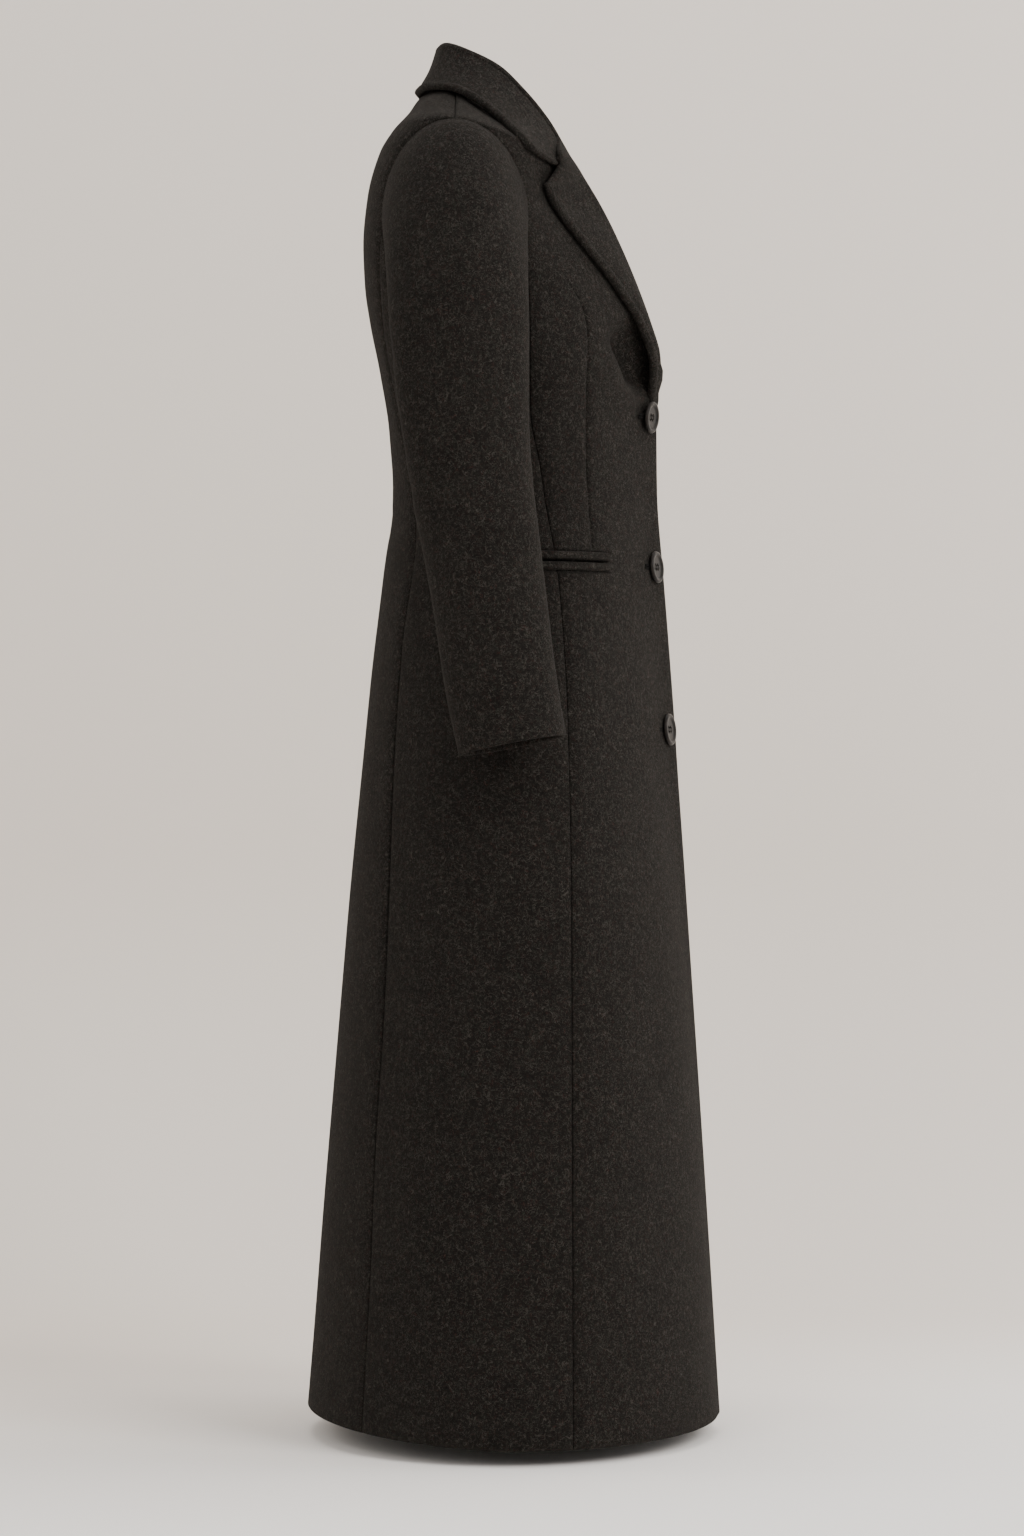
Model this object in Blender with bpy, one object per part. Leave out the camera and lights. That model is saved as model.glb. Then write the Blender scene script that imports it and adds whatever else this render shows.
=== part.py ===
"""A long fitted wool coat with notched lapels, filled out as if worn.

Metres. +Z is up, the front faces -Y and the wearer's right is -X. The origin is
at the base of the neck, on the line of the shoulder seams. Every panel is a wall
of felted wool between two seams of one smooth form, so the coat stays hollow.
"""
import math
from functools import lru_cache
from types import SimpleNamespace

import bmesh
import bpy
from mathutils import Vector

# Cloth
WALL = 0.0028
FOLDED = 0.0054
SEAM_GAP = 0.0003

# Heights
HEM = -1.301
BREAK = -0.265
NECKLINE = 0.012

# Front closing
UNDERLAP = 0.050
UNDERLAP_TOP = -0.300
UNDERLAP_END = -0.275
LAP_SOFTNESS = 0.016
LAP_REACH = 1.15
LAP_FADE = 0.015
ROLL_START = 0.012
BUTTON_INSET = 0.026
BUTTON_HEIGHTS = (-0.309, -0.4585, -0.620)
BUTTON_RADIUS = 0.016
BUTTON_THICK = 0.0046

# Armhole, an upright ellipse seen from the side. Panels stop a little short of it.
ARMHOLE_GAP = 0.0009
ARMHOLE_MIDDLE = -0.125
ARMHOLE_HALF_DEPTH = 0.0705
ARMHOLE_HALF_HEIGHT = 0.0905

# Pocket
POCKET_HEIGHT = -0.4575
POCKET_FRONT_Y = -0.149
POCKET_LENGTH = 0.150
WELT_HEIGHT = 0.0078
WELT_RAISE = 0.0026
POCKET_SLIT = 0.0024
POCKET_STEP = 0.005

# Where the body's sections stop being quite round: how wide the closing edge's
# slight prow spreads and how softly its corner is turned, in radians
PROW_SPREAD = 0.40
PROW_ROUND = 0.05

# Sections of the body, from the hem to the neckline. Each is a ring with its
# own depth in front and behind, half width, and squareness. The rises lift the
# ring's front, side and back above its level where it runs up over the shoulder.
SECTION_COLUMNS = (
    "level", "front_y", "side_x", "back_y", "middle_y", "front_power", "back_power", "prow",
    "front_rise", "side_rise", "back_rise",
)
SECTIONS = (
    (-1.301, -0.2610, 0.2800, 0.1490, -0.056, 1.95, 2.00, 0.00, 0, 0, 0),
    (-1.090, -0.2480, 0.2590, 0.1310, -0.056, 1.95, 2.00, 0.02, 0, 0, 0),
    (-0.890, -0.2350, 0.2400, 0.1140, -0.057, 1.97, 2.00, 0.10, 0, 0, 0),
    (-0.690, -0.2210, 0.2210, 0.0970, -0.058, 2.00, 2.05, 0.38, 0, 0, 0),
    (-0.570, -0.2125, 0.2090, 0.0860, -0.057, 2.00, 2.10, 0.50, 0, 0, 0),
    (-0.470, -0.2050, 0.1890, 0.0740, -0.053, 2.00, 2.15, 0.52, 0, 0, 0),
    (-0.380, -0.1985, 0.1700, 0.0640, -0.046, 2.00, 2.20, 0.52, 0, 0, 0),
    (-0.320, -0.1970, 0.1735, 0.0685, -0.036, 2.00, 2.25, 0.52, 0, 0, 0),
    (-0.265, -0.2005, 0.1815, 0.0775, -0.022, 2.00, 2.30, 0.50, 0, 0, 0),
    (-0.2155, -0.1900, 0.1840, 0.0865, -0.008, 2.00, 2.40, 0.42, 0, 0, 0),
    (-0.180, -0.1740, 0.1920, 0.0915, -0.002, 1.90, 2.60, 0.36, 0, 0, 0),
    (-0.140, -0.1500, 0.1990, 0.0930, 0.000, 1.80, 2.80, 0.30, 0, 0.008, 0),
    (-0.100, -0.1210, 0.2035, 0.0890, 0.000, 1.80, 2.80, 0.25, -0.015, 0.018, 0.002),
    (-0.060, -0.1130, 0.2040, 0.0800, 0.000, 1.80, 2.80, 0.20, -0.032, 0.008, 0.004),
    (-0.035, -0.1140, 0.1990, 0.0700, 0.000, 1.85, 2.70, 0.15, -0.043, 0.001, 0.001),
    (-0.020, -0.1170, 0.1600, 0.0550, 0.000, 1.90, 2.50, 0.10, -0.050, 0.0005, 0.010),
    (0.000, -0.1210, 0.1150, 0.0400, 0.000, 1.95, 2.30, 0.05, -0.056, -0.003, 0.010),
    (0.012, -0.1240, 0.0780, 0.0220, 0.000, 2.00, 2.20, 0.00, -0.054, -0.002, 0.009),
)
SHOULDER_TOP = -0.035
SHOULDER_TURN = 0.85
SHOULDER_SOFTNESS = 0.05

# Angles on a front and a back panel that the armhole never reaches
FRONT_MIDDLE = 0.3
BACK_MIDDLE = 2.8

# Seams that run down the body, as how far forward or back they lie
SIDE_FRONT_SEAM = (
    (-1.301, -0.1141), (-0.784, -0.1132), (-0.605, -0.1097), (-0.536, -0.1060),
    (-0.467, -0.1000), (-0.404, -0.0888), (-0.366, -0.0830), (-0.311, -0.0735),
    (-0.250, -0.0735), (-0.185, -0.0720), (-0.150, -0.0650), (-0.120, -0.0560),
)
SIDE_BACK_SEAM = (
    (-1.301, 0.0911), (-1.140, 0.0827), (-1.018, 0.0782), (-0.894, 0.0711), (-0.787, 0.0667),
    (-0.651, 0.0621), (-0.534, 0.0534), (-0.429, 0.0403), (-0.380, 0.0430), (-0.300, 0.0600),
    (-0.210, 0.0740), (-0.165, 0.0755), (-0.130, 0.0690), (-0.110, 0.0600),
)

# The lapel's roll line, from the break up to where the collar takes over
ROLL_COLUMNS = ("level", "lateral", "y", "z")
ROLL_LINE = (
    (-0.265, 0.0030, -0.2000, -0.2650),
    (-0.250, 0.0068, -0.1985, -0.2500),
    (-0.2155, 0.0115, -0.1900, -0.2155),
    (-0.180, 0.0200, -0.1785, -0.1800),
    (-0.140, 0.0295, -0.1620, -0.1390),
    (-0.100, 0.0375, -0.1465, -0.1040),
    (-0.060, 0.0435, -0.1320, -0.0770),
    (-0.035, 0.0465, -0.1250, -0.0645),
    (-0.020, 0.0480, -0.1205, -0.0565),
    (0.000, 0.0505, -0.1140, -0.0455),
    (0.012, 0.0530, -0.1070, -0.0340),
)
# How far the front's own edge stays behind the roll, sideways and backwards
ROLL_BACKSET = Vector((0.0052, 0.0034, 0))
ROLL_PULL_POWER = 2.5

# The lapel's outer edge against the roll line, from the break to the tip
LAPEL_COLUMNS = ("level", "y", "z")
LAPEL_EDGE = (
    (-0.244, -0.1935, -0.2520),
    (-0.235, -0.1890, -0.2370),
    (-0.205, -0.1765, -0.2130),
    (-0.175, -0.1640, -0.1945),
    (-0.140, -0.1460, -0.1710),
    (-0.105, -0.1240, -0.1455),
    (-0.070, -0.1020, -0.1180),
    (-0.035, -0.0910, -0.1000),
    (0.004, -0.0868, -0.0895),
)
LAPEL_LIFT = 0.0030
LAPEL_CLEARANCE = 0.0020

# The collar at stations from the centre back round to its front end
COLLAR_COLUMNS = (
    "station", "foot_x", "foot_y", "foot_z", "roll_x", "roll_y", "roll_z",
    "edge_x", "edge_y", "edge_z",
)
COLLAR = (
    (0.00, 0.0000, 0.0190, 0.0240, 0.0000, 0.0155, 0.0640, 0.0000, 0.0410, 0.0145),
    (0.20, 0.0360, 0.0150, 0.0215, 0.0330, 0.0110, 0.0625, 0.0550, 0.0330, 0.0125),
    (0.45, 0.0690, -0.0020, 0.0140, 0.0605, -0.0110, 0.0560, 0.1050, 0.0040, 0.0070),
    (0.65, 0.0735, -0.0330, 0.0000, 0.0665, -0.0440, 0.0410, 0.1220, -0.0230, -0.0065),
    (0.82, 0.0690, -0.0650, -0.0140, 0.0635, -0.0740, 0.0140, 0.1285, -0.0495, -0.0235),
    (0.93, 0.0590, -0.0905, -0.0190, 0.0580, -0.0975, -0.0070, 0.1300, -0.0715, -0.0385),
    (1.00, 0.0535, -0.1040, -0.0270, 0.0530, -0.1110, -0.0200, 0.1275, -0.0845, -0.0490),
)
COLLAR_FOLD = 0.0034

# The sleeve below its cap: rings across its hanging axis
SLEEVE_COLUMNS = ("z", "lateral", "y", "half_width", "half_depth")
SLEEVE = (
    (-0.2350, 0.2430, -0.0050, 0.0520, 0.0668),
    (-0.2970, 0.2475, -0.0079, 0.0500, 0.0632),
    (-0.3530, 0.2510, -0.0129, 0.0480, 0.0596),
    (-0.3990, 0.2540, -0.0182, 0.0465, 0.0580),
    (-0.4380, 0.2570, -0.0246, 0.0450, 0.0562),
    (-0.5030, 0.2620, -0.0342, 0.0435, 0.0542),
    (-0.5770, 0.2680, -0.0444, 0.0425, 0.0532),
    (-0.6370, 0.2720, -0.0556, 0.0420, 0.0518),
)
CAP_REACH = 0.046
CAP_FALL = 0.010
CAP_CLEARANCE = 0.005
CAP_LENGTH = 0.45
SLEEVE_FRONT_SEAM = math.radians(128)
SLEEVE_BACK_SEAM = math.radians(-132)

# Mesh divisions. Panels that share a seam have the same rows along it.
BISECTIONS = 30
STEP = 1e-4
BODY_ROWS = 26
ARMHOLE_ROWS = 10
SHOULDER_ROWS = 4
RIGHT_FRONT_COLUMNS = 9
LEFT_FRONT_COLUMNS = 12
SIDE_COLUMNS = 8
BACK_COLUMNS = 8
CAP_ROWS = 7
SLEEVE_ROWS = 11
TOP_SLEEVE_COLUMNS = 18
UNDER_SLEEVE_COLUMNS = 8
COLLAR_STATIONS = 34
LAPEL_ROWS = 15
WELT_COLUMNS = 14
BUTTON_SIDES = 24


def reader(columns, rows):
    """Return a function that reads a table smoothly at any value of its first column."""
    rows = sorted(rows)
    keys = [row[0] for row in rows]

    def slopes(column):
        """Monotone slopes, so that a smooth line never overshoots its table."""
        steps = [
            (rows[i + 1][column] - rows[i][column]) / (keys[i + 1] - keys[i])
            for i in range(len(rows) - 1)
        ]
        inner = [
            0.0 if before * after <= 0 else 2 * before * after / (before + after)
            for before, after in zip(steps, steps[1:])
        ]
        return [steps[0]] + inner + [steps[-1]]

    table = [slopes(column) for column in range(1, len(columns))]

    @lru_cache(maxsize=None)
    def read(key):
        held = min(max(key, keys[0]), keys[-1])
        i = max(index for index in range(len(keys) - 1) if keys[index] <= held)
        span = keys[i + 1] - keys[i]
        t = (held - keys[i]) / span
        values = {}
        for column, name in enumerate(columns[1:], start=1):
            low, high = rows[i][column], rows[i + 1][column]
            low_slope, high_slope = table[column - 1][i] * span, table[column - 1][i + 1] * span
            values[name] = (
                low * (2 * t**3 - 3 * t**2 + 1) + low_slope * (t**3 - 2 * t**2 + t)
                + high * (3 * t**2 - 2 * t**3) + high_slope * (t**3 - t**2)
            )
        return SimpleNamespace(**values)

    return read


section = reader(SECTION_COLUMNS, SECTIONS)
roll_line = reader(ROLL_COLUMNS, ROLL_LINE)
lapel_edge = reader(LAPEL_COLUMNS, LAPEL_EDGE)
collar_station = reader(COLLAR_COLUMNS, COLLAR)
sleeve_ring = reader(SLEEVE_COLUMNS, SLEEVE)
side_front_seam = reader(("level", "y"), SIDE_FRONT_SEAM)
side_back_seam = reader(("level", "y"), SIDE_BACK_SEAM)


def ease(value):
    """Turn 0 to 1 smoothly."""
    t = min(max(value, 0.0), 1.0)
    return t * t * (3 - 2 * t)


def blend(a, b, t):
    return a + (b - a) * t


def form(angle, level):
    """A point of the body's outer form. Angle 0 is the centre front, pi the centre
    back, and X is measured outwards from the middle."""
    ring = section(level)
    facing = math.cos(angle)
    in_front = facing > 0
    reach = ring.middle_y - ring.front_y if in_front else ring.back_y - ring.middle_y
    power = ring.front_power if in_front else ring.back_power
    full_prow = ring.prow * PROW_SPREAD
    if in_front:
        reach /= 1 + full_prow
    round_angle = math.hypot(angle, PROW_ROUND) - PROW_ROUND
    prow = 1 + full_prow * math.exp(-round_angle / PROW_SPREAD)
    across = abs(math.sin(angle) / ring.side_x) ** power
    along = abs(facing / reach) ** power
    radius = prow * (across + along) ** (-1 / power)
    end_rise = ring.front_rise if in_front else ring.back_rise
    soft = math.hypot(facing, SHOULDER_SOFTNESS) ** SHOULDER_TURN
    least = SHOULDER_SOFTNESS**SHOULDER_TURN
    most = math.hypot(1, SHOULDER_SOFTNESS) ** SHOULDER_TURN
    rise = blend(ring.side_rise, end_rise, (soft - least) / (most - least))
    return Vector((radius * math.sin(angle), ring.middle_y - radius * facing, level + rise))


def bisect(inside, low, high):
    """Find where a test turns from false at low to true at high."""
    for _ in range(BISECTIONS):
        middle = (low + high) / 2
        if inside(middle):
            high = middle
        else:
            low = middle
    return (low + high) / 2


def angle_at(level, y):
    """The angle at which the form lies this far forward or back."""
    return bisect(lambda angle: form(angle, level).y > y, 0.0, math.pi)


def gap_angle(level):
    """Half a seam's gap as an angle, a little more for the panels' flat facets."""
    return SEAM_GAP * 0.8 / section(level).side_x


def in_armhole(point):
    depth = point.y / (ARMHOLE_HALF_DEPTH + ARMHOLE_GAP)
    height = (point.z - ARMHOLE_MIDDLE) / (ARMHOLE_HALF_HEIGHT + ARMHOLE_GAP)
    return depth**2 + height**2 < 1


@lru_cache(maxsize=None)
def front_seam_angle(level):
    return angle_at(level, side_front_seam(level).y)


@lru_cache(maxsize=None)
def back_seam_angle(level):
    return angle_at(level, side_back_seam(level).y)


def meets_armhole(seam_angle):
    """The level at which a body seam runs into the armhole."""
    low = ARMHOLE_MIDDLE - ARMHOLE_HALF_HEIGHT
    return bisect(lambda level: in_armhole(form(seam_angle(level), level)), low, ARMHOLE_MIDDLE)


FRONT_JOIN = meets_armhole(front_seam_angle)
BACK_JOIN = meets_armhole(back_seam_angle)
ARMHOLE_TOP = bisect(
    lambda level: not in_armhole(form(math.pi / 2, level)), ARMHOLE_MIDDLE, SHOULDER_TOP / 2
)


def outer_angle(level, join, seam_angle, outside):
    """The far edge of a front or back panel: its body seam, the armhole, or the
    shoulder seam. Outside is an angle on the panel that the armhole never reaches."""
    side = math.pi / 2
    towards = 1 if outside < side else -1
    if level <= join:
        return seam_angle(level) - towards * gap_angle(level)
    if level >= ARMHOLE_TOP:
        return side - towards * gap_angle(level)
    share = bisect(lambda t: in_armhole(form(blend(outside, side, t), level)), 0.0, 1.0)
    return blend(outside, side, share)


def roll_point(level):
    roll = roll_line(level)
    return Vector((roll.lateral, roll.y, roll.z))


def front_start(level, under):
    """The near edge of a front: the closing edge, then the roll line. Returns its
    angle and how far the roll pulls the cloth off the form."""
    if level <= BREAK:
        start = gap_angle(level)
        if under:
            tucked = -UNDERLAP / (section(level).middle_y - section(level).front_y)
            rising = (level - UNDERLAP_TOP) / (UNDERLAP_END - UNDERLAP_TOP)
            start = blend(tucked, start * 3, ease(rising))
        return start, Vector((0, 0, 0))
    emerging = ease((level - BREAK) / ROLL_START)
    target = roll_point(level) + ROLL_BACKSET * emerging
    angle = math.atan2(target.x, section(level).middle_y - target.y)
    return angle, target - form(angle, level)


def front_point(across, level, under):
    """A front panel, from its closing edge (0) to its side seam (1)."""
    start, pull = front_start(level, under)
    end = outer_angle(level, FRONT_JOIN, front_seam_angle, FRONT_MIDDLE)
    angle = blend(start, end, across)
    point = form(angle, level)
    if under and level < BREAK + LAP_FADE:
        depth = (WALL + 4 * SEAM_GAP) * ease(LAP_REACH - point.x / LAP_SOFTNESS)
        depth *= ease((BREAK + LAP_FADE - level) / LAP_FADE)
        ahead = (form(angle + STEP, level) - form(angle - STEP, level)).normalized()
        point += Vector((-ahead.y, ahead.x, 0)) * depth
    return point + pull * max(1 - across, 0) ** ROLL_PULL_POWER


def side_point(across, up):
    """A side panel, from its front seam (0) to its back seam (1). It reaches up to
    the lower part of the armhole."""
    top = side_top(across)
    level = blend(HEM, top, up)
    return side_form(across, level)


def side_form(across, level):
    gap = gap_angle(level)
    return form(blend(front_seam_angle(level) + gap, back_seam_angle(level) - gap, across), level)


@lru_cache(maxsize=None)
def side_top(across):
    highest = blend(FRONT_JOIN, BACK_JOIN, across)
    low = ARMHOLE_MIDDLE - ARMHOLE_HALF_HEIGHT * 1.1
    return bisect(lambda level: in_armhole(side_form(across, level)), low, highest)


def back_point(across, level):
    """A back panel, from its side seam (0) to the centre-back seam (1)."""
    start = outer_angle(level, BACK_JOIN, back_seam_angle, BACK_MIDDLE)
    end = math.pi - gap_angle(level)
    return form(blend(start, end, across), level)


def on_surface(surface, first, second, y, z):
    """The two parameters at which a surface reaches a place seen from the side."""
    for _ in range(25):
        here = surface(first, second)
        along = (surface(first + STEP, second) - here) / STEP
        up = (surface(first, second + STEP) - here) / STEP
        spread = along.y * up.z - along.z * up.y
        miss_y, miss_z = y - here.y, z - here.z
        first += (miss_y * up.z - miss_z * up.y) / spread
        second += (along.y * miss_z - along.z * miss_y) / spread
    return first, second


# Meshes

def steps(low, high, count):
    return [blend(low, high, i / count) for i in range(count + 1)]


def easing_steps(low, high, count):
    """Steps that close up towards the high end, where the armhole turns over."""
    return [blend(low, high, math.sin(math.pi / 2 * i / count)) for i in range(count + 1)]


def outward(surface, u, v, u_span, v_span):
    """The surface's normal at one point, from short steps along it."""
    u_low, u_high = max(u - STEP, u_span[0]), min(u + STEP, u_span[1])
    v_low, v_high = max(v - STEP, v_span[0]), min(v + STEP, v_span[1])
    along = surface(u_high, v) - surface(u_low, v)
    up = surface(u, v_high) - surface(u, v_low)
    return along.cross(up).normalized()


def skins(surface, us, vs, wall):
    """The outer and inner points of a wall, as rows of a grid."""
    u_span, v_span = (min(us), max(us)), (min(vs), max(vs))
    outer = [[surface(u, v) for u in us] for v in vs]
    inner = [
        [surface(u, v) - outward(surface, u, v, u_span, v_span) * wall for u in us] for v in vs
    ]
    return outer, inner


def grid_normals(rows):
    """Normals of a grid of points, from each point's neighbours."""
    normals = []
    for j, row in enumerate(rows):
        line = []
        for i in range(len(row)):
            along = row[min(i + 1, len(row) - 1)] - row[max(i - 1, 0)]
            up = rows[min(j + 1, len(rows) - 1)][i] - rows[max(j - 1, 0)][i]
            line.append(along.cross(up).normalized())
        normals.append(line)
    return normals


def thicken(rows, thickness):
    """The outer and inner points of folded cloth about its middle line."""
    normals = grid_normals(rows)
    outer = [[p + n * thickness / 2 for p, n in zip(*pair)] for pair in zip(rows, normals)]
    inner = [[p - n * thickness / 2 for p, n in zip(*pair)] for pair in zip(rows, normals)]
    return outer, inner


def mirrored(rows):
    """The wearer's right side is at -X: the same rows on the other side."""
    return [[Vector((-p.x, p.y, p.z)) for p in row] for row in rows]


def close_wall(name, outer, inner, material):
    """One closed solid from an outer and an inner grid of the same size."""
    mesh = bpy.data.meshes.new(name)
    shell = bmesh.new()
    front = [[shell.verts.new(p) for p in row] for row in outer]
    back = [[shell.verts.new(p) for p in row] for row in inner]
    tall, wide = len(outer), len(outer[0])
    for j in range(tall - 1):
        for i in range(wide - 1):
            shell.faces.new((front[j][i], front[j][i + 1], front[j + 1][i + 1], front[j + 1][i]))
            shell.faces.new((back[j][i], back[j + 1][i], back[j + 1][i + 1], back[j][i + 1]))
    rim = [(0, i) for i in range(wide)] + [(j, wide - 1) for j in range(1, tall)]
    rim += [(tall - 1, i) for i in range(wide - 2, -1, -1)] + [(j, 0) for j in range(tall - 2, 0, -1)]
    for (j, i), (k, m) in zip(rim, rim[1:] + rim[:1]):
        shell.faces.new((front[j][i], back[j][i], back[k][m], front[k][m]))
    bmesh.ops.recalc_face_normals(shell, faces=shell.faces)
    shell.to_mesh(mesh)
    shell.free()
    return place(name, mesh, material)


def place(name, mesh, material):
    mesh.materials.append(material)
    mesh.shade_smooth()
    mesh.set_sharp_from_angle(angle=math.radians(40))
    piece = bpy.data.objects.new(name, mesh)
    bpy.context.scene.collection.objects.link(piece)
    return piece


def both_sides(name, outer, inner, material):
    """A pair of pieces, one on each side of the body."""
    close_wall(name + "_right", mirrored(outer), mirrored(inner), material)
    close_wall(name + "_left", outer, inner, material)


def finish(name, color, roughness):
    material = bpy.data.materials.new(name)
    material.use_nodes = True
    shader = material.node_tree.nodes["Principled BSDF"]
    shader.inputs["Base Color"].default_value = (*color, 1)
    shader.inputs["Roughness"].default_value = roughness
    shader.inputs["Metallic"].default_value = 0
    return material


def panel_levels(join):
    """Rows of a front or back: up its body seam, up the armhole, over the shoulder."""
    levels = steps(HEM, join, BODY_ROWS)
    levels += easing_steps(join, ARMHOLE_TOP, ARMHOLE_ROWS)[1:]
    return levels + steps(ARMHOLE_TOP, NECKLINE, SHOULDER_ROWS)[1:]


def make_fronts(wool):
    """The columns close up towards the closing edge, which curves most."""
    levels = panel_levels(FRONT_JOIN)
    acrosses = [t**1.25 for t in steps(0, 1, RIGHT_FRONT_COLUMNS)]
    right = skins(lambda u, v: front_point(u, v, False), acrosses, levels, WALL)
    close_wall("front_right", *map(mirrored, right), wool)
    acrosses = [t**1.4 for t in steps(0, 1, LEFT_FRONT_COLUMNS)]
    left = skins(lambda u, v: front_point(u, v, True), acrosses, levels, WALL)
    close_wall("front_left", *left, wool)


def make_sides(wool):
    acrosses, ups = steps(0, 1, SIDE_COLUMNS), steps(0, 1, BODY_ROWS)
    both_sides("side", *skins(side_point, acrosses, ups, WALL), wool)


def make_backs(wool):
    acrosses = steps(0, 1, BACK_COLUMNS)
    both_sides("back", *skins(back_point, acrosses, panel_levels(BACK_JOIN), WALL), wool)


@lru_cache(maxsize=None)
def armhole_point(turn):
    """The armhole seam, turning from the shoulder forward and down."""
    gap = SEAM_GAP / 2
    y = -(ARMHOLE_HALF_DEPTH - gap) * math.sin(turn)
    z = ARMHOLE_MIDDLE + (ARMHOLE_HALF_HEIGHT - gap) * math.cos(turn)
    first_angle = math.pi / 2 - 0.45 * math.sin(turn)
    first_level = z if z < -0.06 else blend(-0.06, SHOULDER_TOP, (z + 0.06) / 0.0255)
    found = on_surface(form, first_angle, first_level, y, z)
    return form(*found) + Vector((SEAM_GAP, 0, 0))


def sleeve_axis(z):
    """The direction in which the sleeve hangs."""
    above, below = sleeve_ring(z + 0.01), sleeve_ring(z - 0.01)
    return Vector((above.lateral - below.lateral, above.y - below.y, 0.02)).normalized()


def ring_point(turn, z):
    ring = sleeve_ring(z)
    axis = sleeve_axis(min(max(z, SLEEVE[-1][0] + 0.01), SLEEVE[0][0] - 0.01))
    out = Vector((1, 0, -axis.x / axis.z)).normalized()
    ahead = out.cross(axis).normalized()
    centre = Vector((ring.lateral, ring.y, z))
    across = out * ring.half_width * math.cos(turn)
    return centre + across + ahead * ring.half_depth * math.sin(turn)


def sleeve_point(turn, down):
    """A sleeve, from the armhole (0) over its cap (to 1) down to the cuff (2)."""
    top, bottom = SLEEVE[0][0], SLEEVE[-1][0]
    if down >= 1:
        return ring_point(turn, blend(top, bottom, down - 1))
    start, end = armhole_point(turn), ring_point(turn, top)
    above = (1 + math.cos(turn)) / 2
    reach = Vector((CAP_CLEARANCE + CAP_REACH * above, 0, -CAP_FALL * above))
    lift = sleeve_axis(top - 0.01) * CAP_LENGTH * (start.z - end.z)
    first, second = start + reach, end + lift
    t = down
    return (
        start * (1 - t) ** 3 + first * 3 * t * (1 - t) ** 2 + second * 3 * t**2 * (1 - t) + end * t**3
    )


def make_sleeves(wool):
    downs = steps(0, 1, CAP_ROWS) + steps(1, 2, SLEEVE_ROWS)[1:]
    gap = SEAM_GAP / 2 / SLEEVE[0][3]
    whole = 2 * math.pi
    pieces = {
        "top_sleeve": steps(SLEEVE_BACK_SEAM + gap, SLEEVE_FRONT_SEAM - gap, TOP_SLEEVE_COLUMNS),
        "under_sleeve": steps(
            SLEEVE_FRONT_SEAM + gap, SLEEVE_BACK_SEAM + whole - gap, UNDER_SLEEVE_COLUMNS
        ),
    }
    for name, turns in pieces.items():
        both_sides(name, *skins(sleeve_point, turns, downs, WALL), wool)


def make_collar(wool):
    """A stand that rises from the neckline, folds at the roll line, and falls outside."""
    rows = []
    for station in steps(-1, 1, COLLAR_STATIONS):
        side = -1 if station < 0 else 1
        at = collar_station(abs(station))
        foot = Vector((at.foot_x * side, at.foot_y, at.foot_z))
        roll = Vector((at.roll_x * side, at.roll_y, at.roll_z))
        edge = Vector((at.edge_x * side, at.edge_y, at.edge_z))
        out = (edge - roll).to_2d().to_3d().normalized()
        centre = roll - Vector((0, 0, FOLDED / 2 + COLLAR_FOLD))
        row = [foot.lerp(centre - out * COLLAR_FOLD, t) for t in (0, 0.33, 0.67)]
        for turn in steps(0, math.pi, 4):
            row.append(centre + (out * -math.cos(turn) + Vector((0, 0, math.sin(turn)))) * COLLAR_FOLD)
        top = row[-1]
        lean = (edge - top).cross(out.cross(Vector((0, 0, 1)))).normalized()
        for t in steps(0, 1, 5)[1:]:
            row.append(top.lerp(edge, t) + lean * LAPEL_LIFT * math.sin(math.pi * t))
        rows.append(row)
    close_wall("collar", *thicken(rows, FOLDED), wool)


def lapel_rows():
    """The lapel's middle line: it wraps the front's edge and lies back on the chest."""
    rows = []
    clear = LAPEL_CLEARANCE + FOLDED / 2
    span = ((0.0, 1.0), (HEM, NECKLINE))

    def surface(u, v):
        return front_point(u, v, False)

    def shell(u, v):
        return surface(u, v) + outward(surface, u, v, *span) * clear

    across, edge_level = 0.04, LAPEL_EDGE[0][0]
    for level in steps(LAPEL_EDGE[0][0], LAPEL_EDGE[-1][0], LAPEL_ROWS):
        edge = lapel_edge(level)
        across, edge_level = on_surface(shell, across, edge_level, edge.y, edge.z)
        start = surface(0, level)
        normal = outward(surface, 0, level, *span)
        ahead = (surface(0, level) - surface(0.02, level)).normalized()
        row = [
            start + ahead * (FOLDED / 2 + 3 * SEAM_GAP) - normal * WALL,
            start + ahead * (FOLDED / 2 + 3 * SEAM_GAP) + normal * 0.0002,
            start + ahead * (FOLDED / 4) + normal * clear * 0.9,
        ]
        for t in steps(0, 1, 7)[1:]:
            u, v = across * t, blend(level, edge_level, t)
            lift = LAPEL_LIFT * math.sin(math.pi * t)
            row.append(shell(u, v) + outward(surface, u, v, *span) * lift)
        rows.append(row)
    return rows


def make_lapels(wool):
    both_sides("lapel", *thicken(lapel_rows(), FOLDED), wool)


def make_pockets(wool):
    """Two narrow welts, one above and one below the slit, lying on front and side."""
    front = angle_at(POCKET_HEIGHT, POCKET_FRONT_Y)
    back = front
    length = 0.0
    while length < POCKET_LENGTH:
        length += (form(back + POCKET_STEP, POCKET_HEIGHT) - form(back, POCKET_HEIGHT)).length
        back += POCKET_STEP
    raised = WELT_RAISE + SEAM_GAP
    span = ((0, math.pi), (HEM, NECKLINE))

    def cover(u, v):
        return form(u, v) + outward(form, u, v, *span) * raised

    for name, low in (("welt_upper", POCKET_SLIT / 2), ("welt_lower", -POCKET_SLIT / 2 - WELT_HEIGHT)):
        levels = steps(POCKET_HEIGHT + low, POCKET_HEIGHT + low + WELT_HEIGHT, 2)
        both_sides(name, *skins(cover, steps(front, back, WELT_COLUMNS), levels, WELT_RAISE), wool)


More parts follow.
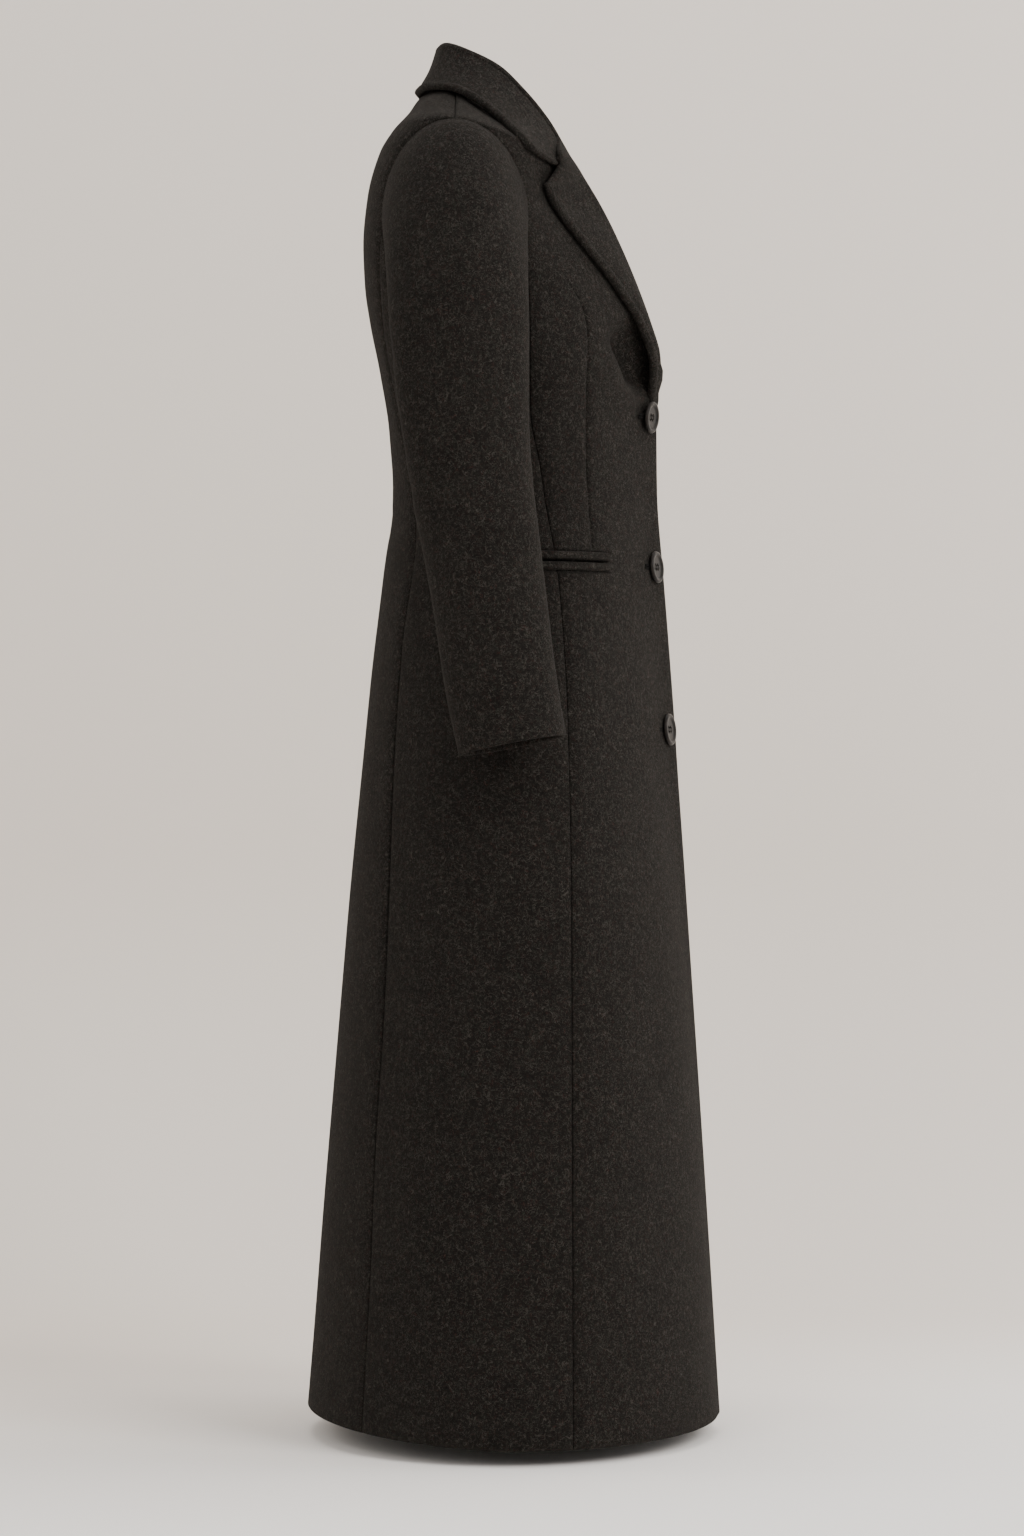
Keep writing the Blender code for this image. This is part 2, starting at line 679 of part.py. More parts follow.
def make_buttons(horn):
    """Turned discs with a raised rim, on the right front near its closing edge."""
    profile = (
        (0.0, 0.0), (0.60, 0.0), (0.90, 0.18), (1.0, 0.50), (0.97, 0.85), (0.88, 1.0),
        (0.76, 0.92), (0.68, 0.70), (0.0, 0.62),
    )
    for number, height in enumerate(BUTTON_HEIGHTS, start=1):
        angle = 0.0
        while (form(angle, height) - form(0, height)).length < BUTTON_INSET:
            angle += 0.001
        span = ((0, math.pi), (HEM, NECKLINE))
        normal = outward(form, angle, height, *span)
        centre = form(angle, height) + normal * button_seat(angle, height, normal)
        button = turned("button_%d" % number, profile, BUTTON_RADIUS, BUTTON_THICK, horn)
        normal.x, centre.x = -normal.x, -centre.x
        button.location = centre
        button.rotation_mode = "QUATERNION"
        button.rotation_quaternion = normal.to_track_quat("Z", "Y")


def button_seat(angle, height, normal):
    """How far off the cloth a flat button sits, so that it just clears the curve."""
    centre = form(angle, height)
    rise = 0.0
    for turn in steps(-0.16, 0.16, 32):
        for up in steps(-BUTTON_RADIUS, BUTTON_RADIUS, 8):
            offset = form(angle + turn, height + up) - centre
            if (offset - normal * offset.dot(normal)).length < BUTTON_RADIUS:
                rise = max(rise, offset.dot(normal))
    return rise + 3 * SEAM_GAP


def turned(name, profile, radius, thickness, material):
    """A solid of revolution about its own Z, from (radius, height) shares."""
    mesh = bpy.data.meshes.new(name)
    disc = bmesh.new()
    rings = []
    turns = [2 * math.pi * i / BUTTON_SIDES for i in range(BUTTON_SIDES)]
    for share, rise in profile[1:-1]:
        rings.append([
            disc.verts.new((share * radius * math.cos(t), share * radius * math.sin(t), rise * thickness))
            for t in turns
        ])
    bottom = disc.verts.new((0, 0, profile[0][1] * thickness))
    top = disc.verts.new((0, 0, profile[-1][1] * thickness))
    for i in range(BUTTON_SIDES):
        j = (i + 1) % BUTTON_SIDES
        disc.faces.new((bottom, rings[0][j], rings[0][i]))
        disc.faces.new((top, rings[-1][i], rings[-1][j]))
        for low, high in zip(rings, rings[1:]):
            disc.faces.new((low[i], low[j], high[j], high[i]))
    bmesh.ops.recalc_face_normals(disc, faces=disc.faces)
    disc.to_mesh(mesh)
    disc.free()
    return place(name, mesh, material)


for leftover in list(bpy.data.objects):
    bpy.data.objects.remove(leftover, do_unlink=True)

charcoal_wool = finish("charcoal_wool", (0.045, 0.042, 0.040), 0.95)
dark_horn = finish("dark_horn", (0.020, 0.017, 0.016), 0.38)
make_fronts(charcoal_wool)
make_sides(charcoal_wool)
make_backs(charcoal_wool)
make_sleeves(charcoal_wool)
make_collar(charcoal_wool)
make_lapels(charcoal_wool)
make_pockets(charcoal_wool)
make_buttons(dark_horn)
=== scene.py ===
import math
from functools import lru_cache
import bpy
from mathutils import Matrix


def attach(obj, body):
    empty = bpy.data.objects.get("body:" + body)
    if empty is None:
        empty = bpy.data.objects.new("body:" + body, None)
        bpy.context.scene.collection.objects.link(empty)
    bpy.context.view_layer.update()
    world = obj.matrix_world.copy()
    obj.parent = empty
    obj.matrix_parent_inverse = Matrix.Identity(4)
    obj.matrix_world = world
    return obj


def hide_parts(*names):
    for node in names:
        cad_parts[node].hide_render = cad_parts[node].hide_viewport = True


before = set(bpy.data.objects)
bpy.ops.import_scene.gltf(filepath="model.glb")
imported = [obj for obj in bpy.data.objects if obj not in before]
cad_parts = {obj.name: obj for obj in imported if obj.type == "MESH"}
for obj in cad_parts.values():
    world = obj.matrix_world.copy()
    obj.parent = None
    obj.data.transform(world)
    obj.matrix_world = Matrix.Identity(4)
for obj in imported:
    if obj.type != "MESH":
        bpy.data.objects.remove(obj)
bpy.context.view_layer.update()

from types import SimpleNamespace

import bmesh
import bpy
from mathutils import Euler, Vector

# Studio. A seamless pale paper sweep with broad soft lights, and a long lens
# square to the wearer's right side, level with the hip. One photo pixel is
# one millimetre at the coat's middle plane.
PIXEL = 0.001
PHOTO_HEIGHT = 1536
CAMERA_DISTANCE = 5.0
EYE_LEVEL = -0.658
PICTURE_MIDDLE_Y = -0.055
SENSOR = 36.0
FLOOR = -1.319
SWEEP_DEPTH = 1.55
SWEEP_RADIUS = 0.55
SWEEP_HALF_WIDTH = 6.0
# Painted light on the paper: a darker, shaded tone for the wall and a lighter, lit tone for the floor
PAPER_PAINTED_SHADE = (0.765, 0.703, 0.640, 1)
PAPER_PAINTED_LIGHT = (0.985, 0.955, 0.925, 1)
PAPER_LIGHT_FADE_X = 0.55
PAPER_LIGHT_FADE_Y = 0.42
PAPER_LIGHT_FADE_START = 0.30

camera_data = bpy.data.cameras.new("camera")
camera_data.sensor_width = SENSOR
camera_data.lens = SENSOR * CAMERA_DISTANCE / (PHOTO_HEIGHT * PIXEL)
camera_data.clip_start = 0.05
camera = bpy.data.objects.new("camera", camera_data)
camera.location = (-CAMERA_DISTANCE, PICTURE_MIDDLE_Y, EYE_LEVEL)
camera.rotation_euler = Euler((math.pi / 2, 0, -math.pi / 2))
bpy.context.scene.collection.objects.link(camera)
bpy.context.scene.camera = camera


def link(name, mesh):
    piece = bpy.data.objects.new(name, mesh)
    bpy.context.scene.collection.objects.link(piece)
    return piece


def nodes_and_links(tree):
    """Short ways to add a node with its settings and sockets, and to join two sockets.
    A socket is given by name or number, with a value or with what feeds it."""
    join = tree.links.new

    def node(kind, sockets=None, **settings):
        made = tree.nodes.new(kind)
        for name, value in settings.items():
            if name in made.inputs:
                made.inputs[name].default_value = value
            else:
                setattr(made, name, value)
        for key, given in (sockets or {}).items():
            if isinstance(given, bpy.types.NodeSocket):
                join(given, made.inputs[key])
            else:
                made.inputs[key].default_value = given
        return made

    return node, join


def new_material(name):
    """A material, its shader, and short ways to add and join nodes."""
    material = bpy.data.materials.new(name)
    material.use_nodes = True
    shader = material.node_tree.nodes["Principled BSDF"]
    return material, shader, *nodes_and_links(material.node_tree)


def paper_material():
    """Matt paper with painted light: lighter on the floor and towards the lamp side."""
    material, shader, node, join = new_material("pale_paper")
    shader.inputs["Roughness"].default_value = 0.9
    shader.inputs["Specular IOR Level"].default_value = 0.1
    # Painted light: the paper blends from the shaded tone on the wall to the lit tone on the floor,
    # towards the camera and the key lamp's side
    place = node("ShaderNodeTexCoord")
    parts = node("ShaderNodeSeparateXYZ", {0: place.outputs["Object"]})
    near = node(
        "ShaderNodeMath", {0: parts.outputs["X"], 1: -PAPER_LIGHT_FADE_X, 2: PAPER_LIGHT_FADE_START},
        operation="MULTIPLY_ADD",
    )
    aside = node(
        "ShaderNodeMath", {0: parts.outputs["Y"], 1: -PAPER_LIGHT_FADE_Y, 2: near.outputs[0]},
        operation="MULTIPLY_ADD",
    )
    soft = node(
        "ShaderNodeMapRange", {"From Min": -0.35, "From Max": 0.80, "Value": aside.outputs[0]},
        interpolation_type="SMOOTHSTEP",
    )
    mix = node(
        "ShaderNodeMix", {"A": PAPER_PAINTED_SHADE, "B": PAPER_PAINTED_LIGHT, "Factor": soft.outputs[0]},
        data_type="RGBA",
    )
    join(mix.outputs["Result"], shader.inputs["Base Color"])
    return material


def make_sweep():
    """The paper runs along the floor and curves up behind the coat."""
    path = [(-9.0, FLOOR), (SWEEP_DEPTH - SWEEP_RADIUS, FLOOR)]
    for i in range(1, 25):
        turn = math.pi / 2 * i / 24
        path.append((
            SWEEP_DEPTH - SWEEP_RADIUS + SWEEP_RADIUS * math.sin(turn),
            FLOOR + SWEEP_RADIUS * (1 - math.cos(turn)),
        ))
    path.append((SWEEP_DEPTH, 4.0))
    mesh = bpy.data.meshes.new("paper_sweep")
    points = [(x, side * SWEEP_HALF_WIDTH, z) for x, z in path for side in (-1, 1)]
    faces = [(2 * i, 2 * i + 1, 2 * i + 3, 2 * i + 2) for i in range(len(path) - 1)]
    mesh.from_pydata(points, [], faces)
    mesh.shade_smooth()
    mesh.materials.append(paper_material())
    link("paper_sweep", mesh)


make_sweep()

LIGHTS = (
    # name, place, aim, width, height, watts
    ("key_panel", (-2.9, -2.8, 1.7), (0, -0.1, -0.6), 2.2, 2.6, 150),
    ("fill_panel", (-3.9, 1.7, 0.9), (0, 0, -0.7), 2.6, 2.6, 62),
    ("front_panel", (0.3, -3.2, 0.2), (0.3, -0.2, -1.0), 1.8, 2.6, 46),
    ("back_panel", (0.8, 3.2, 1.0), (0.8, 0, -0.6), 1.8, 2.6, 30),
    ("top_panel", (0.4, -0.2, 2.6), (0.2, -0.2, -0.6), 2.6, 2.6, 66),
)
for name, spot, aim, width, height, watts in LIGHTS:
    data = bpy.data.lights.new(name, "AREA")
    data.shape = "RECTANGLE"
    data.size, data.size_y, data.energy = width, height, watts
    data.color = (1.0, 0.985, 0.965)
    lamp = bpy.data.objects.new(name, data)
    lamp.location = spot
    lamp.rotation_euler = (Vector(aim) - Vector(spot)).to_track_quat("-Z", "Y").to_euler()
    bpy.context.scene.collection.objects.link(lamp)

world = bpy.data.worlds.new("soft_room")
world.use_nodes = True
world.node_tree.nodes["Background"].inputs["Color"].default_value = (1.0, 0.99, 0.975, 1)
world.node_tree.nodes["Background"].inputs["Strength"].default_value = 0.42
bpy.context.scene.world = world


# Fronts. Two panels of thick felted wool, the right one closing over the left,
# each cut from the closing edge to the side-front seam with one long dart under
# the bust. The closing edge is turned and pressed, so it is thick and rounded.
WALL = 0.0028
SEAM_GAP = 0.0003
GAP_SHARE = 0.8
HEM = -1.301
BREAK = -0.265
NECKLINE = 0.012
UNDERLAP = 0.050
UNDERLAP_TOP = -0.300
LAP_SOFTNESS = 0.016
LAP_REACH = 1.15
LAP_FADE = 0.015
ROLL_START = 0.012
FRONT_MIDDLE = 0.3
BACK_MIDDLE = 2.8
ARMHOLE_GAP = 0.0004
ARMHOLE_MIDDLE = -0.125
ARMHOLE_HALF_DEPTH = 0.0705
ARMHOLE_HALF_HEIGHT = 0.0905
PROW_SPREAD = 0.40
PROW_ROUND = 0.05
SHOULDER_TOP = -0.035
SHOULDER_TURN = 0.85
SHOULDER_SOFTNESS = 0.05
ROLL_BACKSET = Vector((0.0052, 0.0034, 0))
ROLL_PULL_POWER = 2.5
BISECTIONS = 26
STEP = 1e-4

SECTION_COLUMNS = (
    "level", "front_y", "side_x", "back_y", "middle_y", "front_power", "back_power", "prow",
    "front_rise", "side_rise", "back_rise",
)
SECTIONS = (
    (-1.301, -0.2610, 0.2800, 0.1490, -0.056, 1.95, 2.00, 0.00, -0.0020, -0.0032, 0.0085),
    (-1.090, -0.2480, 0.2590, 0.1310, -0.056, 1.95, 2.00, 0.02, 0, 0, 0.0020),
    (-0.890, -0.2350, 0.2400, 0.1140, -0.057, 1.97, 2.00, 0.10, 0, 0, 0),
    (-0.690, -0.2210, 0.2210, 0.0970, -0.058, 2.00, 2.05, 0.38, 0, 0, 0),
    (-0.570, -0.2125, 0.2090, 0.0860, -0.057, 2.00, 2.10, 0.50, 0, 0, 0),
    (-0.470, -0.2050, 0.1890, 0.0740, -0.053, 2.00, 2.15, 0.52, 0, 0, 0),
    (-0.380, -0.1985, 0.1700, 0.0640, -0.046, 2.00, 2.20, 0.52, 0, 0, 0),
    (-0.320, -0.1980, 0.1735, 0.0685, -0.036, 2.00, 2.25, 0.52, 0, 0, 0),
    (-0.265, -0.2030, 0.1815, 0.0775, -0.022, 2.00, 2.30, 0.50, 0, 0, 0),
    (-0.2155, -0.1900, 0.1840, 0.0865, -0.008, 2.00, 2.40, 0.42, 0, 0, 0),
    (-0.180, -0.1740, 0.1920, 0.0915, -0.002, 1.90, 2.60, 0.36, 0, 0, 0),
    (-0.140, -0.1500, 0.1990, 0.0930, 0.000, 1.80, 2.80, 0.30, 0, 0.008, 0),
    (-0.100, -0.1210, 0.2035, 0.0890, 0.000, 1.80, 2.80, 0.25, -0.015, 0.018, 0.002),
    (-0.060, -0.1130, 0.2040, 0.0780, 0.000, 1.80, 2.80, 0.20, -0.032, 0.008, 0.004),
    (-0.035, -0.1140, 0.1990, 0.0660, 0.000, 1.85, 2.70, 0.15, -0.043, 0.001, 0.001),
    (-0.020, -0.1170, 0.1600, 0.0505, 0.000, 1.90, 2.50, 0.10, -0.050, 0.0005, 0.010),
    (0.000, -0.1210, 0.1150, 0.0375, 0.000, 1.95, 2.30, 0.05, -0.056, -0.003, 0.010),
    (0.012, -0.1240, 0.0780, 0.0220, 0.000, 2.00, 2.20, 0.00, -0.054, -0.002, 0.009),
)
SIDE_FRONT_SEAM = (
    (-1.301, -0.1141), (-0.784, -0.1132), (-0.605, -0.1097), (-0.536, -0.1060),
    (-0.467, -0.1000), (-0.404, -0.0888), (-0.366, -0.0830), (-0.311, -0.0735),
    (-0.250, -0.0735), (-0.185, -0.0720), (-0.150, -0.0650), (-0.120, -0.0560),
)
ROLL_COLUMNS = ("level", "lateral", "y", "z")
ROLL_LINE = (
    (-0.265, 0.0030, -0.2030, -0.2650),
    (-0.250, 0.0068, -0.2005, -0.2500),
    (-0.2155, 0.0115, -0.1900, -0.2155),
    (-0.180, 0.0200, -0.1765, -0.1800),
    (-0.140, 0.0295, -0.1585, -0.1390),
    (-0.100, 0.0375, -0.1410, -0.1040),
    (-0.060, 0.0435, -0.1240, -0.0770),
    (-0.035, 0.0465, -0.1160, -0.0645),
    (-0.020, 0.0480, -0.1105, -0.0565),
    (0.000, 0.0505, -0.1040, -0.0455),
    (0.012, 0.0530, -0.0980, -0.0340),
)


def reader(columns, rows):
    """Return a function that reads a table smoothly at any value of its first column."""
    rows = sorted(rows)
    keys = [row[0] for row in rows]

    def slopes(column):
        """Monotone slopes, so that a smooth line never overshoots its table."""
        rates = [
            (rows[i + 1][column] - rows[i][column]) / (keys[i + 1] - keys[i])
            for i in range(len(rows) - 1)
        ]
        inner = [
            0.0 if before * after <= 0 else 2 * before * after / (before + after)
            for before, after in zip(rates, rates[1:])
        ]
        return [rates[0]] + inner + [rates[-1]]

    table = [slopes(column) for column in range(1, len(columns))]

    @lru_cache(maxsize=None)
    def read(key):
        held = min(max(key, keys[0]), keys[-1])
        i = max(index for index in range(len(keys) - 1) if keys[index] <= held)
        span = keys[i + 1] - keys[i]
        t = (held - keys[i]) / span
        values = {}
        for column, name in enumerate(columns[1:], start=1):
            low, high = rows[i][column], rows[i + 1][column]
            low_slope, high_slope = table[column - 1][i] * span, table[column - 1][i + 1] * span
            values[name] = (
                low * (2 * t**3 - 3 * t**2 + 1) + low_slope * (t**3 - 2 * t**2 + t)
                + high * (3 * t**2 - 2 * t**3) + high_slope * (t**3 - t**2)
            )
        return SimpleNamespace(**values)

    return read


section = reader(SECTION_COLUMNS, SECTIONS)
roll_line = reader(ROLL_COLUMNS, ROLL_LINE)
side_front_seam = reader(("level", "y"), SIDE_FRONT_SEAM)


def ease(value):
    """Turn 0 to 1 smoothly."""
    t = min(max(value, 0.0), 1.0)
    return t * t * (3 - 2 * t)


def blend(a, b, t):
    return a + (b - a) * t


def form(angle, level):
    """A point of the body's outer form. Angle 0 is the centre front, pi the centre
    back, and X is measured outwards from the middle."""
    ring = section(level)
    facing = math.cos(angle)
    in_front = facing > 0
    reach = ring.middle_y - ring.front_y if in_front else ring.back_y - ring.middle_y
    power = ring.front_power if in_front else ring.back_power
    full_prow = ring.prow * PROW_SPREAD
    if in_front:
        reach /= 1 + full_prow
    round_angle = math.hypot(angle, PROW_ROUND) - PROW_ROUND
    prow = 1 + full_prow * math.exp(-round_angle / PROW_SPREAD)
    across = abs(math.sin(angle) / ring.side_x) ** power
    along = abs(facing / reach) ** power
    radius = prow * (across + along) ** (-1 / power)
    end_rise = ring.front_rise if in_front else ring.back_rise
    soft = math.hypot(facing, SHOULDER_SOFTNESS) ** SHOULDER_TURN
    least = SHOULDER_SOFTNESS**SHOULDER_TURN
    most = math.hypot(1, SHOULDER_SOFTNESS) ** SHOULDER_TURN
    rise = blend(ring.side_rise, end_rise, (soft - least) / (most - least))
    return Vector((radius * math.sin(angle), ring.middle_y - radius * facing, level + rise))


def bisect(inside, low, high):
    """Find where a test turns from false at low to true at high."""
    for _ in range(BISECTIONS):
        middle = (low + high) / 2
        if inside(middle):
            high = middle
        else:
            low = middle
    return (low + high) / 2


def angle_at(level, y):
    """The angle at which the form lies this far forward or back."""
    return bisect(lambda angle: form(angle, level).y > y, 0.0, math.pi)


def gap_angle(level):
    return SEAM_GAP * GAP_SHARE / section(level).side_x


def in_armhole(point, gap=ARMHOLE_GAP):
    depth = point.y / (ARMHOLE_HALF_DEPTH + gap)
    height = (point.z - ARMHOLE_MIDDLE) / (ARMHOLE_HALF_HEIGHT + gap)
    return depth**2 + height**2 < 1


@lru_cache(maxsize=None)
def front_seam_angle(level):
    return angle_at(level, side_front_seam(level).y)


def meets_armhole(seam_angle):
    """The level at which a body seam runs into the armhole."""
    low = ARMHOLE_MIDDLE - ARMHOLE_HALF_HEIGHT
    return bisect(lambda level: in_armhole(form(seam_angle(level), level)), low, ARMHOLE_MIDDLE)


FRONT_JOIN = meets_armhole(front_seam_angle)
ARMHOLE_TOP = bisect(
    lambda level: not in_armhole(form(math.pi / 2, level)), ARMHOLE_MIDDLE, SHOULDER_TOP / 2
)


@lru_cache(maxsize=None)
def outer_angle(level, join, seam_angle, outside):
    """The far edge of a front or back: its body seam, the armhole, or the shoulder
    seam. Outside is an angle on the panel that the armhole never reaches."""
    side = math.pi / 2
    towards = 1 if outside < side else -1
    if level <= join:
        return seam_angle(level) - towards * gap_angle(level)
    if level >= ARMHOLE_TOP:
        return side - towards * gap_angle(level)
    share = bisect(lambda t: in_armhole(form(blend(outside, side, t), level)), 0.0, 1.0)
    return blend(outside, side, share)


@lru_cache(maxsize=None)
def front_start(level, under):
    """The near edge of a front: the closing edge, then the roll line. Returns its
    angle and how far the roll pulls the cloth off the form."""
    if level <= BREAK:
        start = gap_angle(level)
        if under:
            tucked = -UNDERLAP / (section(level).middle_y - section(level).front_y)
            rising = (level - UNDERLAP_TOP) / (BREAK - 0.010 - UNDERLAP_TOP)
            start = blend(tucked, start * 3, ease(rising))
        return start, Vector((0, 0, 0))
    emerging = ease((level - BREAK) / ROLL_START)
    roll = roll_line(level)
    target = Vector((roll.lateral, roll.y, roll.z)) + ROLL_BACKSET * emerging
    angle = math.atan2(target.x, section(level).middle_y - target.y)
    return angle, target - form(angle, level)


def front_end(level):
    return outer_angle(level, FRONT_JOIN, front_seam_angle, FRONT_MIDDLE)


def front_point(across, level, under):
    """A front panel, from its closing edge (0) to its side seam (1)."""
    start, pull = front_start(level, under)
    angle = blend(start, front_end(level), across)
    point = form(angle, level)
    if under and level < BREAK + LAP_FADE:
        depth = (WALL + 4 * SEAM_GAP) * ease(LAP_REACH - point.x / LAP_SOFTNESS)
        depth *= ease((BREAK + LAP_FADE - level) / LAP_FADE)
        ahead = (form(angle + STEP, level) - form(angle - STEP, level)).normalized()
        point += Vector((-ahead.y, ahead.x, 0)) * depth
    return point + pull * max(1 - across, 0) ** ROLL_PULL_POWER


def steps(low, high, count):
    return [blend(low, high, i / count) for i in range(count + 1)]


def easing_steps(low, high, count):
    """Steps that close up towards the high end, where the armhole turns over."""
    return [blend(low, high, math.sin(math.pi / 2 * i / count)) for i in range(count + 1)]


def grid_normals(rows):
    """Normals of a grid of points, from each point's neighbours."""
    normals = []
    for j, row in enumerate(rows):
        line = []
        for i in range(len(row)):
            along = row[min(i + 1, len(row) - 1)] - row[max(i - 1, 0)]
            up = rows[min(j + 1, len(rows) - 1)][i] - rows[max(j - 1, 0)][i]
            line.append(along.cross(up).normalized())
        normals.append(line)
    return normals


def row_lengths(row):
    """Distance along a row of points, at each point."""
    lengths = [0.0]
    for a, b in zip(row, row[1:]):
        lengths.append(lengths[-1] + (b - a).length)
    return lengths


# Near an edge the grid closes up, so that the edge can be rounded
EDGE_DISTANCES = (0.0, 0.0005, 0.0013, 0.0026, 0.0045, 0.0075)
CELL = 0.0085
CREASE_FADE = 0.25


def edged_shares(length, low_edge=True, high_edge=True, count=None):
    """Shares of a length, close together at its edges and even in between."""
    low = [d / length for d in EDGE_DISTANCES] if low_edge else [0.0]
    high = [1 - d / length for d in reversed(EDGE_DISTANCES)] if high_edge else [1.0]
    count = count or max(2, round((high[0] - low[-1]) * length / CELL))
    return low + steps(low[-1], high[0], count)[1:-1] + high


def rounding(distance, radius, depth):
    """How far a surface falls away this near to an edge."""
    if distance >= radius:
        return 0.0
    t = 1 - distance / radius
    return depth * (1 - math.sqrt(max(1 - t * t, 0.0)))


def seam_slump(distance, radius=0.0055, depth=0.0016):
    """The soft valley that pressing and stitching make beside a seam."""
    return rounding(distance, 0.0016, 0.0010) + depth * math.exp(-((distance / radius) ** 2))


def crease_depth(point, creases):
    """Soft troughs and ridges along short lines drawn on the cloth. Each crease has
    a start and end as seen from the side, a half width and a depth."""
    total = 0.0
    for y0, z0, y1, z1, half_width, depth in creases:
        line_y, line_z = y1 - y0, z1 - z0
        length = line_y * line_y + line_z * line_z
        t = ((point.y - y0) * line_y + (point.z - z0) * line_z) / length
        held = min(max(t, -CREASE_FADE), 1 + CREASE_FADE)
        away = math.hypot(point.y - y0 - held * line_y, point.z - z0 - held * line_z)
        fade = ease(min(held + CREASE_FADE, 1 + CREASE_FADE - held) / (2 * CREASE_FADE))
        total += depth * fade * math.exp(-((away / half_width) ** 2))
    return total


def mirrored(rows):
    return [[Vector((-p.x, p.y, p.z)) for p in row] for row in rows]


def finished(name, shell, material):
    """Turn a shell into a smooth object with outward faces."""
    mesh = bpy.data.meshes.new(name)
    bmesh.ops.recalc_face_normals(shell, faces=shell.faces)
    shell.to_mesh(mesh)
    shell.free()
    mesh.materials.append(material)
    mesh.shade_smooth()
    return link(name, mesh)


def shape_wall(rows, faces):
    """Outer and inner points of a wall along a grid. Given a point, its row's lengths,
    its column, and its distances from the first and last rows, faces tells how deep
    the outer and the inner face lie."""
    columns = [row_lengths(column) for column in zip(*rows)]
    outer, inner = [], []
    for j, (row, line) in enumerate(zip(rows, grid_normals(rows))):
        lengths = row_lengths(row)
        depths = [
            faces(point, lengths, i, columns[i][j], columns[i][-1] - columns[i][j])
            for i, point in enumerate(row)
        ]
        outer.append([p - n * near for p, n, (near, far) in zip(row, line, depths)])
        inner.append([p - n * far for p, n, (near, far) in zip(row, line, depths)])
    return outer, inner


def wall_mesh(name, outer, inner, material):
    """One closed thin shell from an outer and an inner grid of the same size."""
    shell = bmesh.new()
    front = [[shell.verts.new(p) for p in row] for row in outer]
    back = [[shell.verts.new(p) for p in row] for row in inner]
    tall, wide = len(outer), len(outer[0])
    for j in range(tall - 1):
        for i in range(wide - 1):
            shell.faces.new((front[j][i], front[j][i + 1], front[j + 1][i + 1], front[j + 1][i]))
            shell.faces.new((back[j][i], back[j + 1][i], back[j + 1][i + 1], back[j][i + 1]))
    rim = [(0, i) for i in range(wide)] + [(j, wide - 1) for j in range(1, tall)]
    rim += [(tall - 1, i) for i in range(wide - 2, -1, -1)] + [(j, 0) for j in range(tall - 2, 0, -1)]
    for (j, i), (k, m) in zip(rim, rim[1:] + rim[:1]):
        shell.faces.new((front[j][i], back[j][i], back[k][m], front[k][m]))
    return finished(name, shell, material)


def grid_area(rows):
    return sum(
        (rows[j][i + 1] - rows[j][i]).cross(rows[j + 1][i] - rows[j][i]).length
        for j in range(len(rows) - 1) for i in range(len(rows[0]) - 1)
    )


def sew_in(piece, node, outer, held="hung", spare=1.02):
    """Ride the coat and stand for the node. The panel's widest and longest reach along the
    cloth and its area are worked out but not used."""
    width = max(row_lengths(row)[-1] for row in outer) * spare
    length = max(row_lengths(column)[-1] for column in zip(*outer)) * spare
    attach(piece, "root")
    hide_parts(node)
    min(grid_area(outer), width * length)


def sew_pair(name, outer, inner, material, held="hung", sides=("right", "left")):
    """Sew a piece in on each side. The points given are the left one's."""
    for side in sides:
        flip = mirrored if side == "right" else list
        cloth = wall_mesh("%s_cloth_%s" % (name, side), flip(outer), flip(inner), material)
        sew_in(cloth, "%s_%s" % (name, side), outer, held)


# The wool's look. Dense short curly fibres, pale ones lying over dark felt, with a
# few tinted flecks, cloudy shade from uneven dye, and a nap that lights up at the rim.
WOOL_DARK = (0.0052, 0.0045, 0.0038, 1)
WOOL_MID = (0.0125, 0.0110, 0.0096, 1)
FIBRE_PALE = (0.072, 0.065, 0.056, 1)
FLECK_RED = (0.060, 0.020, 0.016, 1)
FLECK_GREEN = (0.022, 0.030, 0.022, 1)
FIBRE_LAYERS = (
    # scale per metre, curl, width, cover, colour
    (120.0, 2.8, 0.034, 0.62, FIBRE_PALE),
    (210.0, 2.4, 0.050, 0.46, FIBRE_PALE),
    (120.0, 2.8, 0.016, 0.45, FLECK_RED),
    (105.0, 2.6, 0.016, 0.50, FLECK_GREEN),
)


